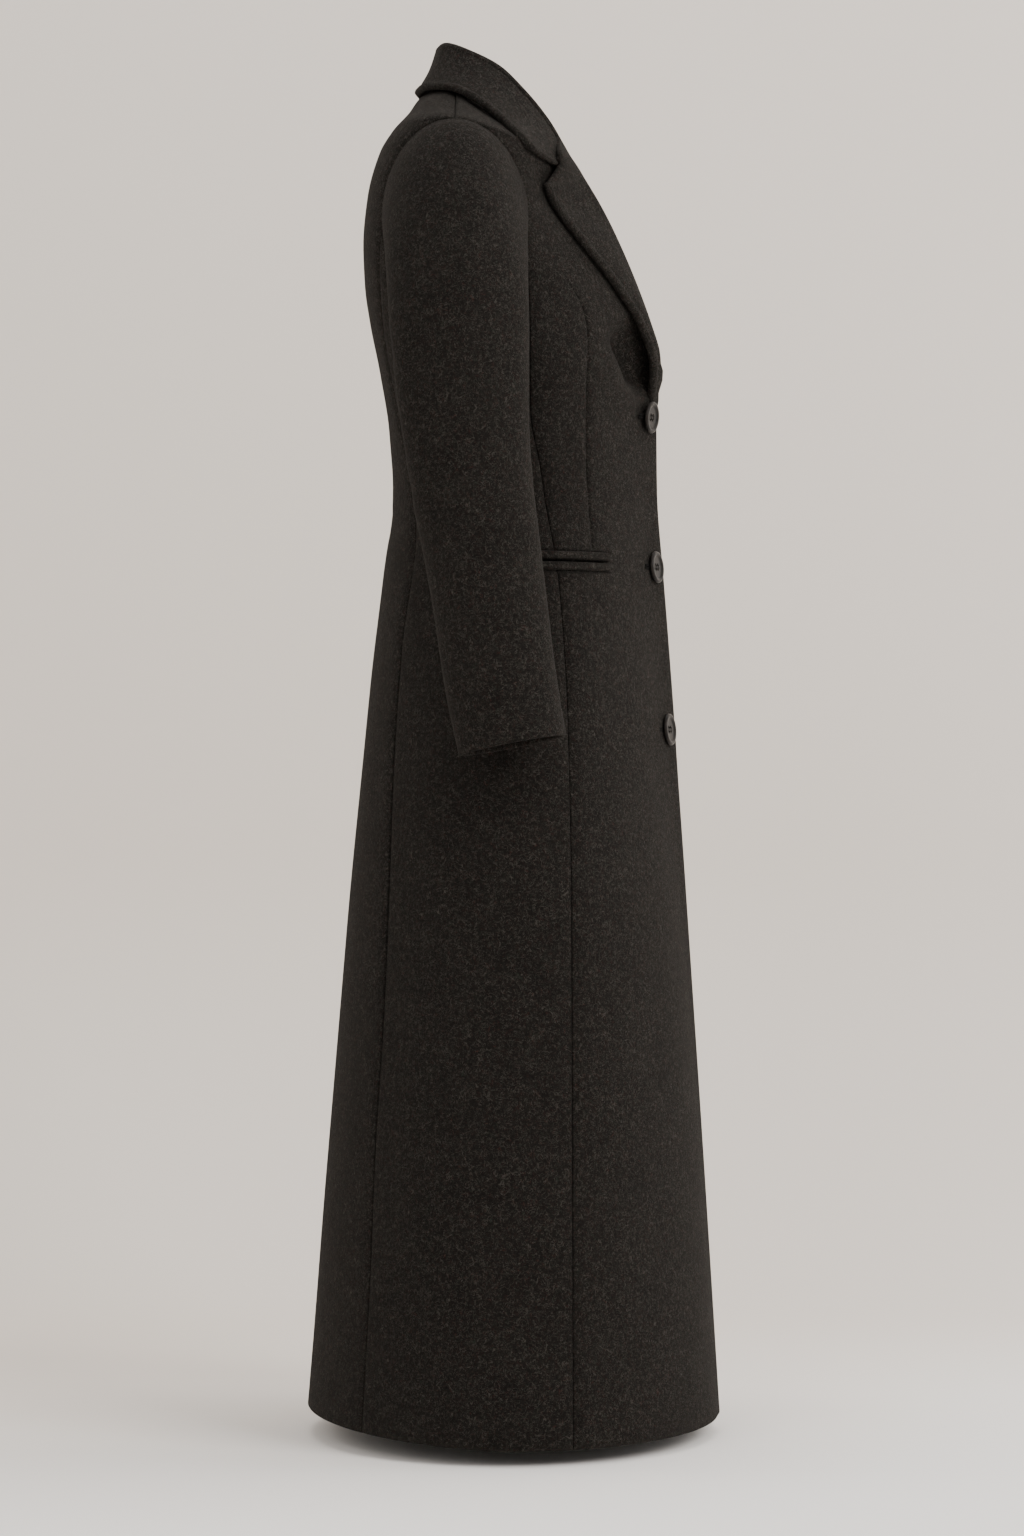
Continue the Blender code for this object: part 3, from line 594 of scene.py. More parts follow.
def curly_fibre_group():
    """Worm-like lines where a warped noise passes through its middle value."""
    tree = bpy.data.node_groups.new("curly_fibres", "ShaderNodeTree")
    for name, default in (("Scale", 900.0), ("Curl", 1.5), ("Width", 0.02), ("Cover", 0.5)):
        socket = tree.interface.new_socket(name=name, in_out="INPUT", socket_type="NodeSocketFloat")
        socket.default_value = default
    tree.interface.new_socket(name="Vector", in_out="INPUT", socket_type="NodeSocketVector")
    tree.interface.new_socket(name="Fibre", in_out="OUTPUT", socket_type="NodeSocketFloat")
    tree.interface.new_socket(name="Height", in_out="OUTPUT", socket_type="NodeSocketFloat")
    node, join = nodes_and_links(tree)
    given = node("NodeGroupInput").outputs
    result = node("NodeGroupOutput")
    lines = node(
        "ShaderNodeTexNoise",
        {"Vector": given["Vector"], "Scale": given["Scale"], "Distortion": given["Curl"]},
        Detail=1.5, Roughness=0.5,
    )
    middle = node("ShaderNodeMath", {0: lines.outputs["Fac"], 1: 0.5}, operation="SUBTRACT")
    away = node("ShaderNodeMath", {0: middle.outputs[0]}, operation="ABSOLUTE")
    thin = node(
        "ShaderNodeMath", {0: away.outputs[0], 1: given["Width"]}, operation="DIVIDE", use_clamp=True
    )
    line = node("ShaderNodeMath", {0: 1.0, 1: thin.outputs[0]}, operation="SUBTRACT", use_clamp=True)
    patch_scale = node("ShaderNodeMath", {0: given["Scale"], 1: 1.7}, operation="MULTIPLY")
    patches = node(
        "ShaderNodeTexNoise", {"Scale": patch_scale.outputs[0], "Vector": given["Vector"]}, Detail=0.0
    )
    cover = node(
        "ShaderNodeMapRange", {"From Min": 0.62, "From Max": 0.40, "Value": patches.outputs["Fac"]},
        interpolation_type="SMOOTHSTEP",
    )
    some = node("ShaderNodeMath", {0: cover.outputs[0], 1: given["Cover"]}, operation="MULTIPLY")
    fibre = node(
        "ShaderNodeMath", {0: line.outputs[0], 1: some.outputs[0]}, operation="MULTIPLY",
        use_clamp=True,
    )
    join(fibre.outputs[0], result.inputs["Fibre"])
    join(line.outputs[0], result.inputs["Height"])
    return tree


CURLY_FIBRES = curly_fibre_group()


def felted_wool(name, shade=1.0, shift=(0, 0, 0)):
    """Charcoal melton. Each panel is shifted in the cloth, so seams show a break, and each copy's colour
    is scaled lighter or darker as painted light.
    """
    material, shader, node, join = new_material(name)
    shader.inputs["Metallic"].default_value = 0.0
    shader.inputs["Specular IOR Level"].default_value = 0.06
    shader.inputs["Sheen Weight"].default_value = 0.030
    shader.inputs["Sheen Roughness"].default_value = 0.40
    shader.inputs["Sheen Tint"].default_value = (0.62, 0.57, 0.52, 1)
    place = node("ShaderNodeTexCoord")
    moved = node("ShaderNodeMapping", {"Location": shift, "Vector": place.outputs["Object"]})
    cloth = {"Vector": moved.outputs[0]}
    cloud = node("ShaderNodeTexNoise", cloth, Scale=26.0, Detail=4.0, Roughness=0.6)
    grain = node("ShaderNodeTexNoise", cloth, Scale=520.0, Detail=3.0, Roughness=0.7)
    spread = node(
        "ShaderNodeMapRange", {"From Min": 0.32, "From Max": 0.70, "Value": grain.outputs["Fac"]}
    )
    # Painted light: the panel's base colours are scaled lighter or darker
    dark, pale = (tuple(c * shade for c in tone[:3]) + (1,) for tone in (WOOL_DARK, WOOL_MID))
    base = node("ShaderNodeMix", {"A": dark, "B": pale, "Factor": spread.outputs[0]}, data_type="RGBA")
    tone = node("ShaderNodeMapRange", {
        "From Min": 0.3, "From Max": 0.7, "To Min": 0.84, "To Max": 1.16, "Value": cloud.outputs["Fac"],
    })
    cloudy = node(
        "ShaderNodeMix", {"Factor": 1.0, "A": base.outputs["Result"], "B": tone.outputs[0]},
        data_type="RGBA", blend_type="MULTIPLY",
    )
    color = cloudy.outputs["Result"]
    heights = []
    for number, (scale, curl, width, cover, tint) in enumerate(FIBRE_LAYERS):
        turned = node("ShaderNodeMapping", {
            "Location": (number * 3.7, number * 1.9, number * 5.3),
            "Rotation": (number * 0.7, number * 1.1, number * 0.4),
            "Vector": moved.outputs[0],
        })
        fibres = node(
            "ShaderNodeGroup",
            {"Scale": scale, "Curl": curl, "Width": width, "Cover": cover, "Vector": turned.outputs[0]},
            node_tree=CURLY_FIBRES,
        )
        over = node(
            "ShaderNodeMix", {"A": color, "B": tint, "Factor": fibres.outputs["Fibre"]},
            data_type="RGBA",
        )
        color = over.outputs["Result"]
        heights.append(fibres.outputs["Height"])
    join(color, shader.inputs["Base Color"])
    rough = node("ShaderNodeMapRange", {"To Min": 0.86, "To Max": 1.0, "Value": grain.outputs["Fac"]})
    join(rough.outputs[0], shader.inputs["Roughness"])
    coarse = node("ShaderNodeMath", {0: heights[0], 1: heights[1]}, operation="ADD")
    nap = node(
        "ShaderNodeMath", {0: grain.outputs["Fac"], 1: 0.8, 2: coarse.outputs[0]},
        operation="MULTIPLY_ADD",
    )
    bump = node("ShaderNodeBump", {"Height": nap.outputs[0]}, Strength=0.75, Distance=0.0006)
    join(bump.outputs[0], shader.inputs["Normal"])
    return material


# Painted light: the side panel under the arm gets a darker copy of the wool, the sleeves and the collar,
# lapels and welts lighter copies
wool_front = felted_wool("felted_wool_front", 1.0, (0, 0, 0))
wool_side = felted_wool("felted_wool_side", 0.97, (7.3, 1.1, 0.4))
wool_back = felted_wool("felted_wool_back", 1.0, (2.2, 9.4, 3.0))
wool_sleeve = felted_wool("felted_wool_sleeve", 1.03, (4.6, 5.2, 8.8))
wool_collar = felted_wool("felted_wool_collar", 1.05, (12.0, 2.0, 6.1))

DART = (
    (-0.1720, -0.1020), (-0.1890, -0.1120), (-0.1990, -0.1200), (-0.2090, -0.1250),
    (-0.2310, -0.1300), (-0.2520, -0.1305), (-0.2800, -0.1290), (-0.3500, -0.1285),
    (-0.4030, -0.1310), (-0.4460, -0.1345), (-0.6000, -0.1420), (-1.3010, -0.1600),
)
DART_TOP = DART[0][0]
DART_END = -0.4480
DART_FADE = 0.045
DART_STOP = 0.004
DART_DISTANCES = (0.0006, 0.0014, 0.0028, 0.0050, 0.0085)
DART_FRONT_COLUMNS = 24
DART_SIDE_COLUMNS = 8
dart_line = reader(("level", "y"), DART)
CHEST_CREASES = (
    # start y, start z, end y, end z, half width, depth
    (-0.080, -0.190, -0.105, -0.235, 0.009, 0.0012),
    (-0.088, -0.300, -0.120, -0.270, 0.012, -0.0010),
    (-0.150, -0.330, -0.192, -0.305, 0.012, 0.0010),
    (-0.150, -0.500, -0.160, -0.700, 0.022, 0.0012),
    (-0.185, -0.480, -0.200, -0.640, 0.018, -0.0010),
    (-0.166, -0.226, -0.190, -0.278, 0.0135, 0.0230),
    (-0.180, -0.270, -0.192, -0.310, 0.0110, 0.0030),
    (-0.140, -0.760, -0.150, -1.180, 0.034, -0.0020),
    (-0.200, -0.820, -0.215, -1.240, 0.030, 0.0016),
)


def valley(distance, depth, half_width):
    """A smooth groove with its deepest place at no distance."""
    return depth * math.exp(-((distance / half_width) ** 2))


def dart_groove(distance, z):
    """The stitched dart: a sharp line in a soft valley, fading in above, and ending at
    the pocket."""
    shown = ease((DART_TOP - z) / DART_FADE) * ease((z - DART_END) / DART_STOP)
    return shown * (valley(distance, 0.0014, 0.0012) + valley(distance, 0.0012, 0.0050))


EDGE_THICKNESS = 0.0050
EDGE_PROUD = 0.0018
SEAM_TUCK = 0.0006
HEM_THICKNESS = 0.0046
THINNEST = 0.0003

# The pocket's opening, sunk into the front and side: a deep slit between the welts,
# and the pressed line round them
POCKET_HEIGHT = -0.4575
POCKET_FRONT_Y = -0.149
POCKET_LENGTH = 0.150
WELT_HEIGHT = 0.0078
POCKET_SLIT = 0.0026
WELT_EDGE = POCKET_SLIT / 2 + WELT_HEIGHT
SLIT_DEPTH = 0.0060
SLIT_HALF_WIDTH = 0.0013
POCKET_END_SOFTNESS = 0.0022
POCKET_MARGIN = 0.0015
POCKET_OFFSETS = (
    0.016, 0.0125, WELT_EDGE + 0.0019, WELT_EDGE + 0.0011, WELT_EDGE + 0.0004, WELT_EDGE - 0.0008,
    0.0050, 0.0022, 0.0012, 0.0005,
)
POCKET_LEVELS = [POCKET_HEIGHT - d for d in POCKET_OFFSETS]
POCKET_LEVELS += [POCKET_HEIGHT + d for d in reversed(POCKET_OFFSETS)]
pocket_front = angle_at(POCKET_HEIGHT, POCKET_FRONT_Y)
pocket_back = pocket_front
while (form(pocket_back, POCKET_HEIGHT) - form(pocket_front, POCKET_HEIGHT)).length < POCKET_LENGTH:
    pocket_back += 0.004
POCKET_BACK_Y = form(pocket_back, POCKET_HEIGHT).y


def pocket_trench(point):
    """How far the cloth is sunk at the pocket's slit and along its outline."""
    away = abs(point.z - POCKET_HEIGHT)
    inside = ease((point.y - POCKET_FRONT_Y + POCKET_MARGIN) / POCKET_END_SOFTNESS)
    inside *= ease((POCKET_BACK_Y + POCKET_MARGIN - point.y) / POCKET_END_SOFTNESS)
    slit = SLIT_DEPTH * math.exp(-((away / SLIT_HALF_WIDTH) ** 4))
    return inside * (slit + valley(away - WELT_EDGE - 0.0006, 0.0017, 0.0010))


def edge_growth(distance, reach=0.055):
    """Cloth turned in along an edge makes it thicker there."""
    return ease(1 - distance / reach)


ROWS_BELOW_POCKET = 88
ROWS_ABOVE_POCKET = 34
ROWS_BY_ARMHOLE = 26
ROWS_ON_SHOULDER = 12


def levels_to_pocket():
    levels = [HEM + d for d in EDGE_DISTANCES]
    return levels + steps(levels[-1], POCKET_LEVELS[0], ROWS_BELOW_POCKET)[1:] + POCKET_LEVELS[1:]


def panel_levels(join):
    """Rows of a front or back: up its body seam, up the armhole, over the shoulder."""
    levels = levels_to_pocket()
    levels += steps(levels[-1], join, ROWS_ABOVE_POCKET)[1:]
    levels += easing_steps(join, ARMHOLE_TOP, ROWS_BY_ARMHOLE)[1:]
    return levels + steps(ARMHOLE_TOP, NECKLINE, ROWS_ON_SHOULDER)[1:]


def panel_grid(surface, levels, columns):
    """Points of a panel with even columns that close up at both edges."""
    rows = []
    for level in levels:
        rough = [surface(t, level) for t in steps(0, 1, 10)]
        shares = edged_shares(max(row_lengths(rough)[-1], 0.03), count=columns)
        rows.append([surface(t, level) for t in shares])
    return rows


def front_grid(under):
    """A front's points. Its columns also close up at the dart. Returns the dart's column."""
    rows = []
    around = [-d for d in reversed(DART_DISTANCES)] + [0.0, *DART_DISTANCES]
    for level in panel_levels(FRONT_JOIN):
        rough = row_lengths([front_point(t, level, under) for t in steps(0, 1, 12)])[-1]
        held = min(level, DART_TOP)
        start = front_start(held, under)[0]
        dart = (angle_at(held, dart_line(held).y) - start) / (front_end(held) - start)
        low = [d / rough for d in EDGE_DISTANCES]
        near = [dart + d / rough for d in around]
        high = [1 - d / rough for d in reversed(EDGE_DISTANCES)]
        shares = low + steps(low[-1], near[0], DART_FRONT_COLUMNS)[1:-1] + near
        shares += steps(near[-1], high[0], DART_SIDE_COLUMNS)[1:-1] + high
        rows.append([front_point(t, level, under) for t in shares])
    return rows, len(EDGE_DISTANCES) + DART_FRONT_COLUMNS - 1 + len(DART_DISTANCES)


def turn_edge(sink, thickness, distance, edge_thickness):
    """Round an edge of this thickness off on both faces."""
    half = edge_thickness / 2
    turned = rounding(distance, half, half)
    return sink + turned, thickness - 2 * turned


def shape_panel(rows, low_edge, high_edge, creases=(), dart=None):
    """Give a panel its seam valleys or thick rounded edges, dart, creases and wall.
    An edge is either seam or open; the bottom row is the hem."""
    def faces(point, lengths, i, from_hem, _):
        sink = crease_depth(point, creases) + pocket_trench(point)
        if dart:
            sink += dart_groove(abs(lengths[i] - lengths[dart]), point.z)
        thickness = WALL + (HEM_THICKNESS - WALL) * edge_growth(from_hem, 0.045)
        for distance, kind in ((lengths[i], low_edge), (lengths[-1] - lengths[i], high_edge)):
            if kind == "seam":
                sink += seam_slump(distance)
            else:
                sink -= EDGE_PROUD * edge_growth(distance, 0.03)
                thickness = max(thickness, blend(WALL, EDGE_THICKNESS, edge_growth(distance)))
                sink, thickness = turn_edge(sink, thickness, distance, EDGE_THICKNESS)
        sink, thickness = turn_edge(sink, thickness, from_hem, HEM_THICKNESS)
        return sink, sink + max(thickness, THINNEST)

    outer, inner = shape_wall(rows, faces)
    for row in inner:
        if low_edge == "seam":
            row[0] += (row[0] - row[1]).normalized() * SEAM_TUCK
        if high_edge == "seam":
            row[-1] += (row[-1] - row[-2]).normalized() * SEAM_TUCK
    return outer, inner


for side, under in (("right", False), ("left", True)):
    rows, dart = front_grid(under)
    outer, inner = shape_panel(rows, "open", "seam", CHEST_CREASES, dart)
    sew_pair("front", outer, inner, wool_front, sides=(side,))


# Side panels. One wide piece under each arm, from the side-front seam round to
# the side-back seam, which gives the coat its waist and much of its flare.
SIDE_BACK_SEAM = (
    (-1.301, 0.0911), (-1.140, 0.0827), (-1.018, 0.0782), (-0.894, 0.0711), (-0.787, 0.0667),
    (-0.651, 0.0621), (-0.534, 0.0534), (-0.429, 0.0403), (-0.380, 0.0430), (-0.300, 0.0600),
    (-0.210, 0.0740), (-0.165, 0.0755), (-0.130, 0.0690), (-0.110, 0.0600),
)
side_back_seam = reader(("level", "y"), SIDE_BACK_SEAM)
SIDE_CREASES = (
    (-0.060, -0.430, -0.015, -0.400, 0.010, 0.0012),
    (0.010, -0.640, 0.022, -1.180, 0.040, -0.0026),
    (-0.060, -0.720, -0.062, -1.220, 0.036, 0.0020),
    (0.050, -0.560, 0.062, -1.000, 0.026, 0.0014),
)


@lru_cache(maxsize=None)
def back_seam_angle(level):
    return angle_at(level, side_back_seam(level).y)


BACK_JOIN = meets_armhole(back_seam_angle)


def side_form(across, level):
    gap = gap_angle(level)
    return form(blend(front_seam_angle(level) + gap, back_seam_angle(level) - gap, across), level)


@lru_cache(maxsize=None)
def side_top(across):
    highest = blend(FRONT_JOIN, BACK_JOIN, across)
    low = ARMHOLE_MIDDLE - ARMHOLE_HALF_HEIGHT - 0.01
    return bisect(lambda level: in_armhole(side_form(across, level)), low, highest)


def side_rows():
    """Level rows up to the waist, then rows that bend up to the armhole's lower curve."""
    shares = edged_shares(0.19, count=24)
    levels = levels_to_pocket()
    rows = [[side_form(t, level) for t in shares] for level in levels]
    for up in steps(0, 1, ROWS_ABOVE_POCKET)[1:]:
        rows.append([side_form(t, blend(levels[-1], side_top(t), up)) for t in shares])
    return rows


sew_pair("side", *shape_panel(side_rows(), "seam", "seam", SIDE_CREASES), wool_side)


# Backs. Two panels joined down the centre back, shaped to the waist and flared
# below it, running up to the shoulder seams and the nape.
BACK_CREASES = (
    (0.100, -0.700, 0.120, -1.180, 0.034, -0.0022),
    (0.066, -0.400, 0.060, -0.430, 0.012, 0.0010),
    (0.088, -0.240, 0.076, -0.330, 0.016, 0.0010),
)


def back_point(across, level):
    """A back panel, from its side seam (0) to the centre-back seam (1)."""
    start = outer_angle(level, BACK_JOIN, back_seam_angle, BACK_MIDDLE)
    return form(blend(start, math.pi - gap_angle(level), across), level)


rows = panel_grid(back_point, panel_levels(BACK_JOIN), 24)
sew_pair("back", *shape_panel(rows, "seam", "seam", BACK_CREASES), wool_back)


# Sleeves. Set-in two-piece sleeves: a full cap eased into the armhole, a soft bend
# at the elbow, a plain open cuff, and both long seams turned towards the body.
SLEEVE_COLUMNS = ("z", "lateral", "y", "half_width", "half_depth")
SLEEVE = (
    (-0.2350, 0.2430, -0.0050, 0.0520, 0.0668),
    (-0.2970, 0.2475, -0.0079, 0.0500, 0.0632),
    (-0.3530, 0.2510, -0.0129, 0.0480, 0.0596),
    (-0.3990, 0.2540, -0.0182, 0.0465, 0.0580),
    (-0.4380, 0.2570, -0.0246, 0.0450, 0.0562),
    (-0.5030, 0.2620, -0.0342, 0.0435, 0.0542),
    (-0.5770, 0.2680, -0.0444, 0.0425, 0.0532),
    (-0.6370, 0.2720, -0.0556, 0.0420, 0.0518),
)
CAP_REACH = 0.046
CAP_FALL = 0.010
CAP_CLEARANCE = 0.005
CAP_LENGTH = 0.45
SLEEVE_FRONT_SEAM = math.radians(128)
SLEEVE_BACK_SEAM = math.radians(-132)
CUFF_THICKNESS = 0.0046
CAP_RIDGE = 0.0007
CAP_TURN_LEVEL = -0.06
CAP_TURN_HEIGHT = 0.0255
CAP_TUCK = 0.011
sleeve_ring = reader(SLEEVE_COLUMNS, SLEEVE)
SLEEVE_CREASES = (
    # start y, start z, end y, end z, half width, depth
    (-0.068, -0.395, -0.020, -0.372, 0.0075, 0.0022),
    (-0.070, -0.425, -0.030, -0.412, 0.0080, 0.0018),
    (-0.066, -0.360, -0.036, -0.344, 0.0080, 0.0012),
    (0.046, -0.390, 0.010, -0.410, 0.0100, 0.0012),
    (0.055, -0.250, 0.030, -0.300, 0.0120, 0.0010),
    (-0.060, -0.230, -0.040, -0.290, 0.0120, 0.0010),
    (-0.060, -0.540, -0.030, -0.556, 0.0110, 0.0010),
    (-0.020, -0.600, -0.052, -0.580, 0.0120, -0.0008),
)


def on_surface(surface, first, second, y, z):
    """The two parameters at which a surface reaches a place seen from the side."""
    for _ in range(20):
        here = surface(first, second)
        along = (surface(first + STEP, second) - here) / STEP
        up = (surface(first, second + STEP) - here) / STEP
        spread = along.y * up.z - along.z * up.y
        miss_y, miss_z = y - here.y, z - here.z
        first += (miss_y * up.z - miss_z * up.y) / spread
        second += (along.y * miss_z - along.z * miss_y) / spread
    return first, second


@lru_cache(maxsize=None)
def armhole_point(turn):
    """The armhole seam, turning from the shoulder forward and down."""
    gap = SEAM_GAP / 2
    y = -(ARMHOLE_HALF_DEPTH - gap) * math.sin(turn)
    z = ARMHOLE_MIDDLE + (ARMHOLE_HALF_HEIGHT - gap) * math.cos(turn)
    level = z
    if z >= CAP_TURN_LEVEL:
        level = blend(CAP_TURN_LEVEL, SHOULDER_TOP, (z - CAP_TURN_LEVEL) / CAP_TURN_HEIGHT)
    return form(*on_surface(form, math.pi / 2 - 0.45 * math.sin(turn), level, y, z))


def sleeve_axis(z):
    """The direction in which the sleeve hangs."""
    above, below = sleeve_ring(z + 0.01), sleeve_ring(z - 0.01)
    return Vector((above.lateral - below.lateral, above.y - below.y, 0.02)).normalized()


def ring_point(turn, z):
    ring = sleeve_ring(z)
    axis = sleeve_axis(min(max(z, SLEEVE[-1][0] + 0.01), SLEEVE[0][0] - 0.01))
    out = Vector((1, 0, -axis.x / axis.z)).normalized()
    ahead = out.cross(axis).normalized()
    centre = Vector((ring.lateral, ring.y, z))
    return centre + out * ring.half_width * math.cos(turn) + ahead * ring.half_depth * math.sin(turn)


def sleeve_point(turn, down):
    """A sleeve, from the armhole (0) over its cap (to 1) down to the cuff (2)."""
    top, bottom = SLEEVE[0][0], SLEEVE[-1][0]
    if down >= 1:
        return ring_point(turn, blend(top, bottom, down - 1))
    start, end = armhole_point(turn), ring_point(turn, top)
    above = (1 + math.cos(turn)) / 2
    reach = Vector((CAP_CLEARANCE + CAP_REACH * above, 0, -CAP_FALL * above))
    lift = sleeve_axis(top - 0.01) * CAP_LENGTH * (start.z - end.z)
    first, second = start + reach, end + lift
    t = down
    return (
        start * (1 - t) ** 3 + first * 3 * t * (1 - t) ** 2 + second * 3 * t**2 * (1 - t) + end * t**3
    )


def shape_sleeve(rows):
    """Seam valleys down both edges and round the armhole, a thick rounded cuff, and
    creases that gather at the inside of the elbow."""
    def faces(point, lengths, i, from_cap, from_cuff):
        sink = crease_depth(point, SLEEVE_CREASES)
        sink += seam_slump(lengths[i]) + seam_slump(lengths[-1] - lengths[i])
        sink += rounding(from_cap, 0.0010, 0.0006) - valley(from_cap - 0.0024, CAP_RIDGE, 0.0014)
        thickness = blend(WALL, CUFF_THICKNESS, edge_growth(from_cuff, 0.04))
        sink, thickness = turn_edge(sink, thickness, from_cuff, CUFF_THICKNESS)
        return sink, sink + max(thickness, THINNEST)

    outer, inner = shape_wall(rows, faces)
    for i, (edge, inside) in enumerate(zip(inner[0], inner[1])):
        inner[0][i] = edge + (edge - inside).normalized() * CAP_TUCK
    return outer, inner


def sleeve_downs():
    cap = [d / 0.25 for d in EDGE_DISTANCES]
    cuff = [2 - d / 0.41 for d in reversed(EDGE_DISTANCES)]
    return cap + steps(cap[-1], 1, 34)[1:] + steps(1, cuff[0], 60)[1:-1] + cuff


SLEEVE_PIECES = (
    ("top_sleeve", SLEEVE_BACK_SEAM, SLEEVE_FRONT_SEAM, 60, 0.22),
    ("under_sleeve", SLEEVE_FRONT_SEAM, SLEEVE_BACK_SEAM + 2 * math.pi, 18, 0.08),
)
for name, first, last, columns, width in SLEEVE_PIECES:
    turns = [blend(first + 0.003, last - 0.003, t) for t in edged_shares(width, count=columns)]
    rows = [[sleeve_point(turn, down) for turn in turns] for down in sleeve_downs()]
    sew_pair(name, *shape_sleeve(rows), wool_sleeve)


# Collar. Doubled cloth cut in one: a stand that rises from the neckline, folds at
# the roll line, and falls over the neck seam to a thick rounded edge.
FOLDED = 0.0054
COLLAR_FOLD = 0.0034
COLLAR_LIFT = 0.0030
COLLAR_LENGTH = 0.34
STAND_ROWS = 8
FOLD_ROWS = 10
FALL_ROWS = 22
EDGE_SWELL = 0.0012
EDGE_LINE = 0.0006
COLLAR_COLUMNS = (
    "station", "foot_x", "foot_y", "foot_z", "roll_x", "roll_y", "roll_z",
    "edge_x", "edge_y", "edge_z",
)
COLLAR = (
    (0.00, 0.0000, 0.0190, 0.0240, 0.0000, 0.0155, 0.0640, 0.0000, 0.0410, 0.0145),
    (0.20, 0.0360, 0.0150, 0.0215, 0.0330, 0.0110, 0.0625, 0.0550, 0.0330, 0.0125),
    (0.45, 0.0690, -0.0020, 0.0140, 0.0605, -0.0090, 0.0530, 0.1050, 0.0040, 0.0060),
    (0.65, 0.0735, -0.0330, 0.0000, 0.0665, -0.0405, 0.0365, 0.1220, -0.0230, -0.0090),
    (0.82, 0.0680, -0.0590, -0.0180, 0.0635, -0.0680, 0.0104, 0.1370, -0.0462, -0.0290),
    (0.93, 0.0585, -0.0840, -0.0290, 0.0580, -0.0906, -0.0175, 0.1590, -0.0600, -0.0445),
    (1.00, 0.0520, -0.0930, -0.0440, 0.0530, -0.1025, -0.0369, 0.1510, -0.0735, -0.0570),
)
GORGE_START = 0.86
GORGE_SHARE = 0.42
GORGE_DROP = Vector((0.0060, -0.0090, -0.0157))
collar_station = reader(COLLAR_COLUMNS, COLLAR)


def collar_row(station):
    """The collar's middle line at one station, from its foot over the fold to its edge."""
    side = -1 if station < 0 else 1
    at = collar_station(abs(station))
    foot = Vector((at.foot_x * side, at.foot_y, at.foot_z))
    roll = Vector((at.roll_x * side, at.roll_y, at.roll_z))
    edge = Vector((at.edge_x * side, at.edge_y, at.edge_z))
    out = (edge - roll).to_2d().to_3d().normalized()
    centre = roll - Vector((0, 0, FOLDED / 2 + COLLAR_FOLD))
    row = [foot.lerp(centre - out * COLLAR_FOLD, t) for t in steps(0, 1, STAND_ROWS)[:-1]]
    for turn in steps(0, math.pi, FOLD_ROWS):
        row.append(centre + (out * -math.cos(turn) + Vector((0, 0, math.sin(turn)))) * COLLAR_FOLD)
    top = row[-1]
    lean = (edge - top).cross(out.cross(Vector((0, 0, 1)))).normalized()
    length = (edge - top).length
    for t in edged_shares(length, low_edge=False, count=FALL_ROWS)[1:]:
        corner = min(t / GORGE_SHARE, (1 - t) / (1 - GORGE_SHARE))
        drop = GORGE_DROP * ease((abs(station) - GORGE_START) / (1 - GORGE_START)) * corner
        drop.x *= side
        row.append(top.lerp(edge, t) + lean * COLLAR_LIFT * math.sin(math.pi * t) + drop)
    return row


def thicken_folded(rows, open_rows):
    """Doubled cloth about its middle line, rounded at its free edge and, where it has
    them, at its free ends."""
    def faces(_, lengths, i, from_first, from_last):
        half = FOLDED / 2
        from_edge = lengths[-1] - lengths[i]
        pinch = rounding(from_edge, half, half)
        for distance, is_open in zip((from_first, from_last), open_rows):
            if is_open:
                pinch = max(pinch, rounding(distance, half, half))
        swell = valley(from_edge - 0.0048, EDGE_SWELL, 0.0030)
        swell -= valley(from_edge - 0.0105, EDGE_LINE, 0.0024)
        half = max(half - pinch + swell, 0.0002)
        return -half, half

    return shape_wall(rows, faces)


stations = [blend(-1, 1, t) for t in edged_shares(COLLAR_LENGTH, count=96)]
collar_outer, collar_inner = thicken_folded([collar_row(s) for s in stations], (True, True))
collar_cloth = wall_mesh("collar_cloth", collar_outer, collar_inner, wool_collar)
sew_in(collar_cloth, "collar", collar_outer, held="folded")


# Lapels. The fronts turn back on themselves along the roll line: doubled cloth that
# wraps the front's own edge and lies on the chest up to the notch and the tip.
LAPEL_LIFT = 0.0030
LAPEL_TAPER = 0.060
LAPEL_SINK = 0.0110
LAPEL_CLEARANCE = 0.0020
LAPEL_HEIGHT = 0.24
LAPEL_WIDTH = 0.09
LAPEL_ROWS = 44
LAPEL_ACROSS = 26
LAPEL_COLUMNS = ("level", "y", "z")
LAPEL_EDGE = (
    (-0.298, -0.2005, -0.3010),
    (-0.276, -0.1985, -0.2830),
    (-0.255, -0.1950, -0.2620),
    (-0.235, -0.1885, -0.2400),
    (-0.205, -0.1765, -0.2130),
    (-0.175, -0.1640, -0.1945),
    (-0.140, -0.1460, -0.1710),
    (-0.105, -0.1240, -0.1455),
    (-0.070, -0.1020, -0.1180),
    (-0.035, -0.0910, -0.1000),
    (0.0115, -0.0868, -0.0895),
)
lapel_edge = reader(LAPEL_COLUMNS, LAPEL_EDGE)


def outward(surface, u, v):
    """The surface's normal at one point, from short steps along it."""
    along = surface(u + STEP, v) - surface(max(u - STEP, 0.0), v)
    up = surface(u, v + STEP) - surface(u, v - STEP)
    return along.cross(up).normalized()


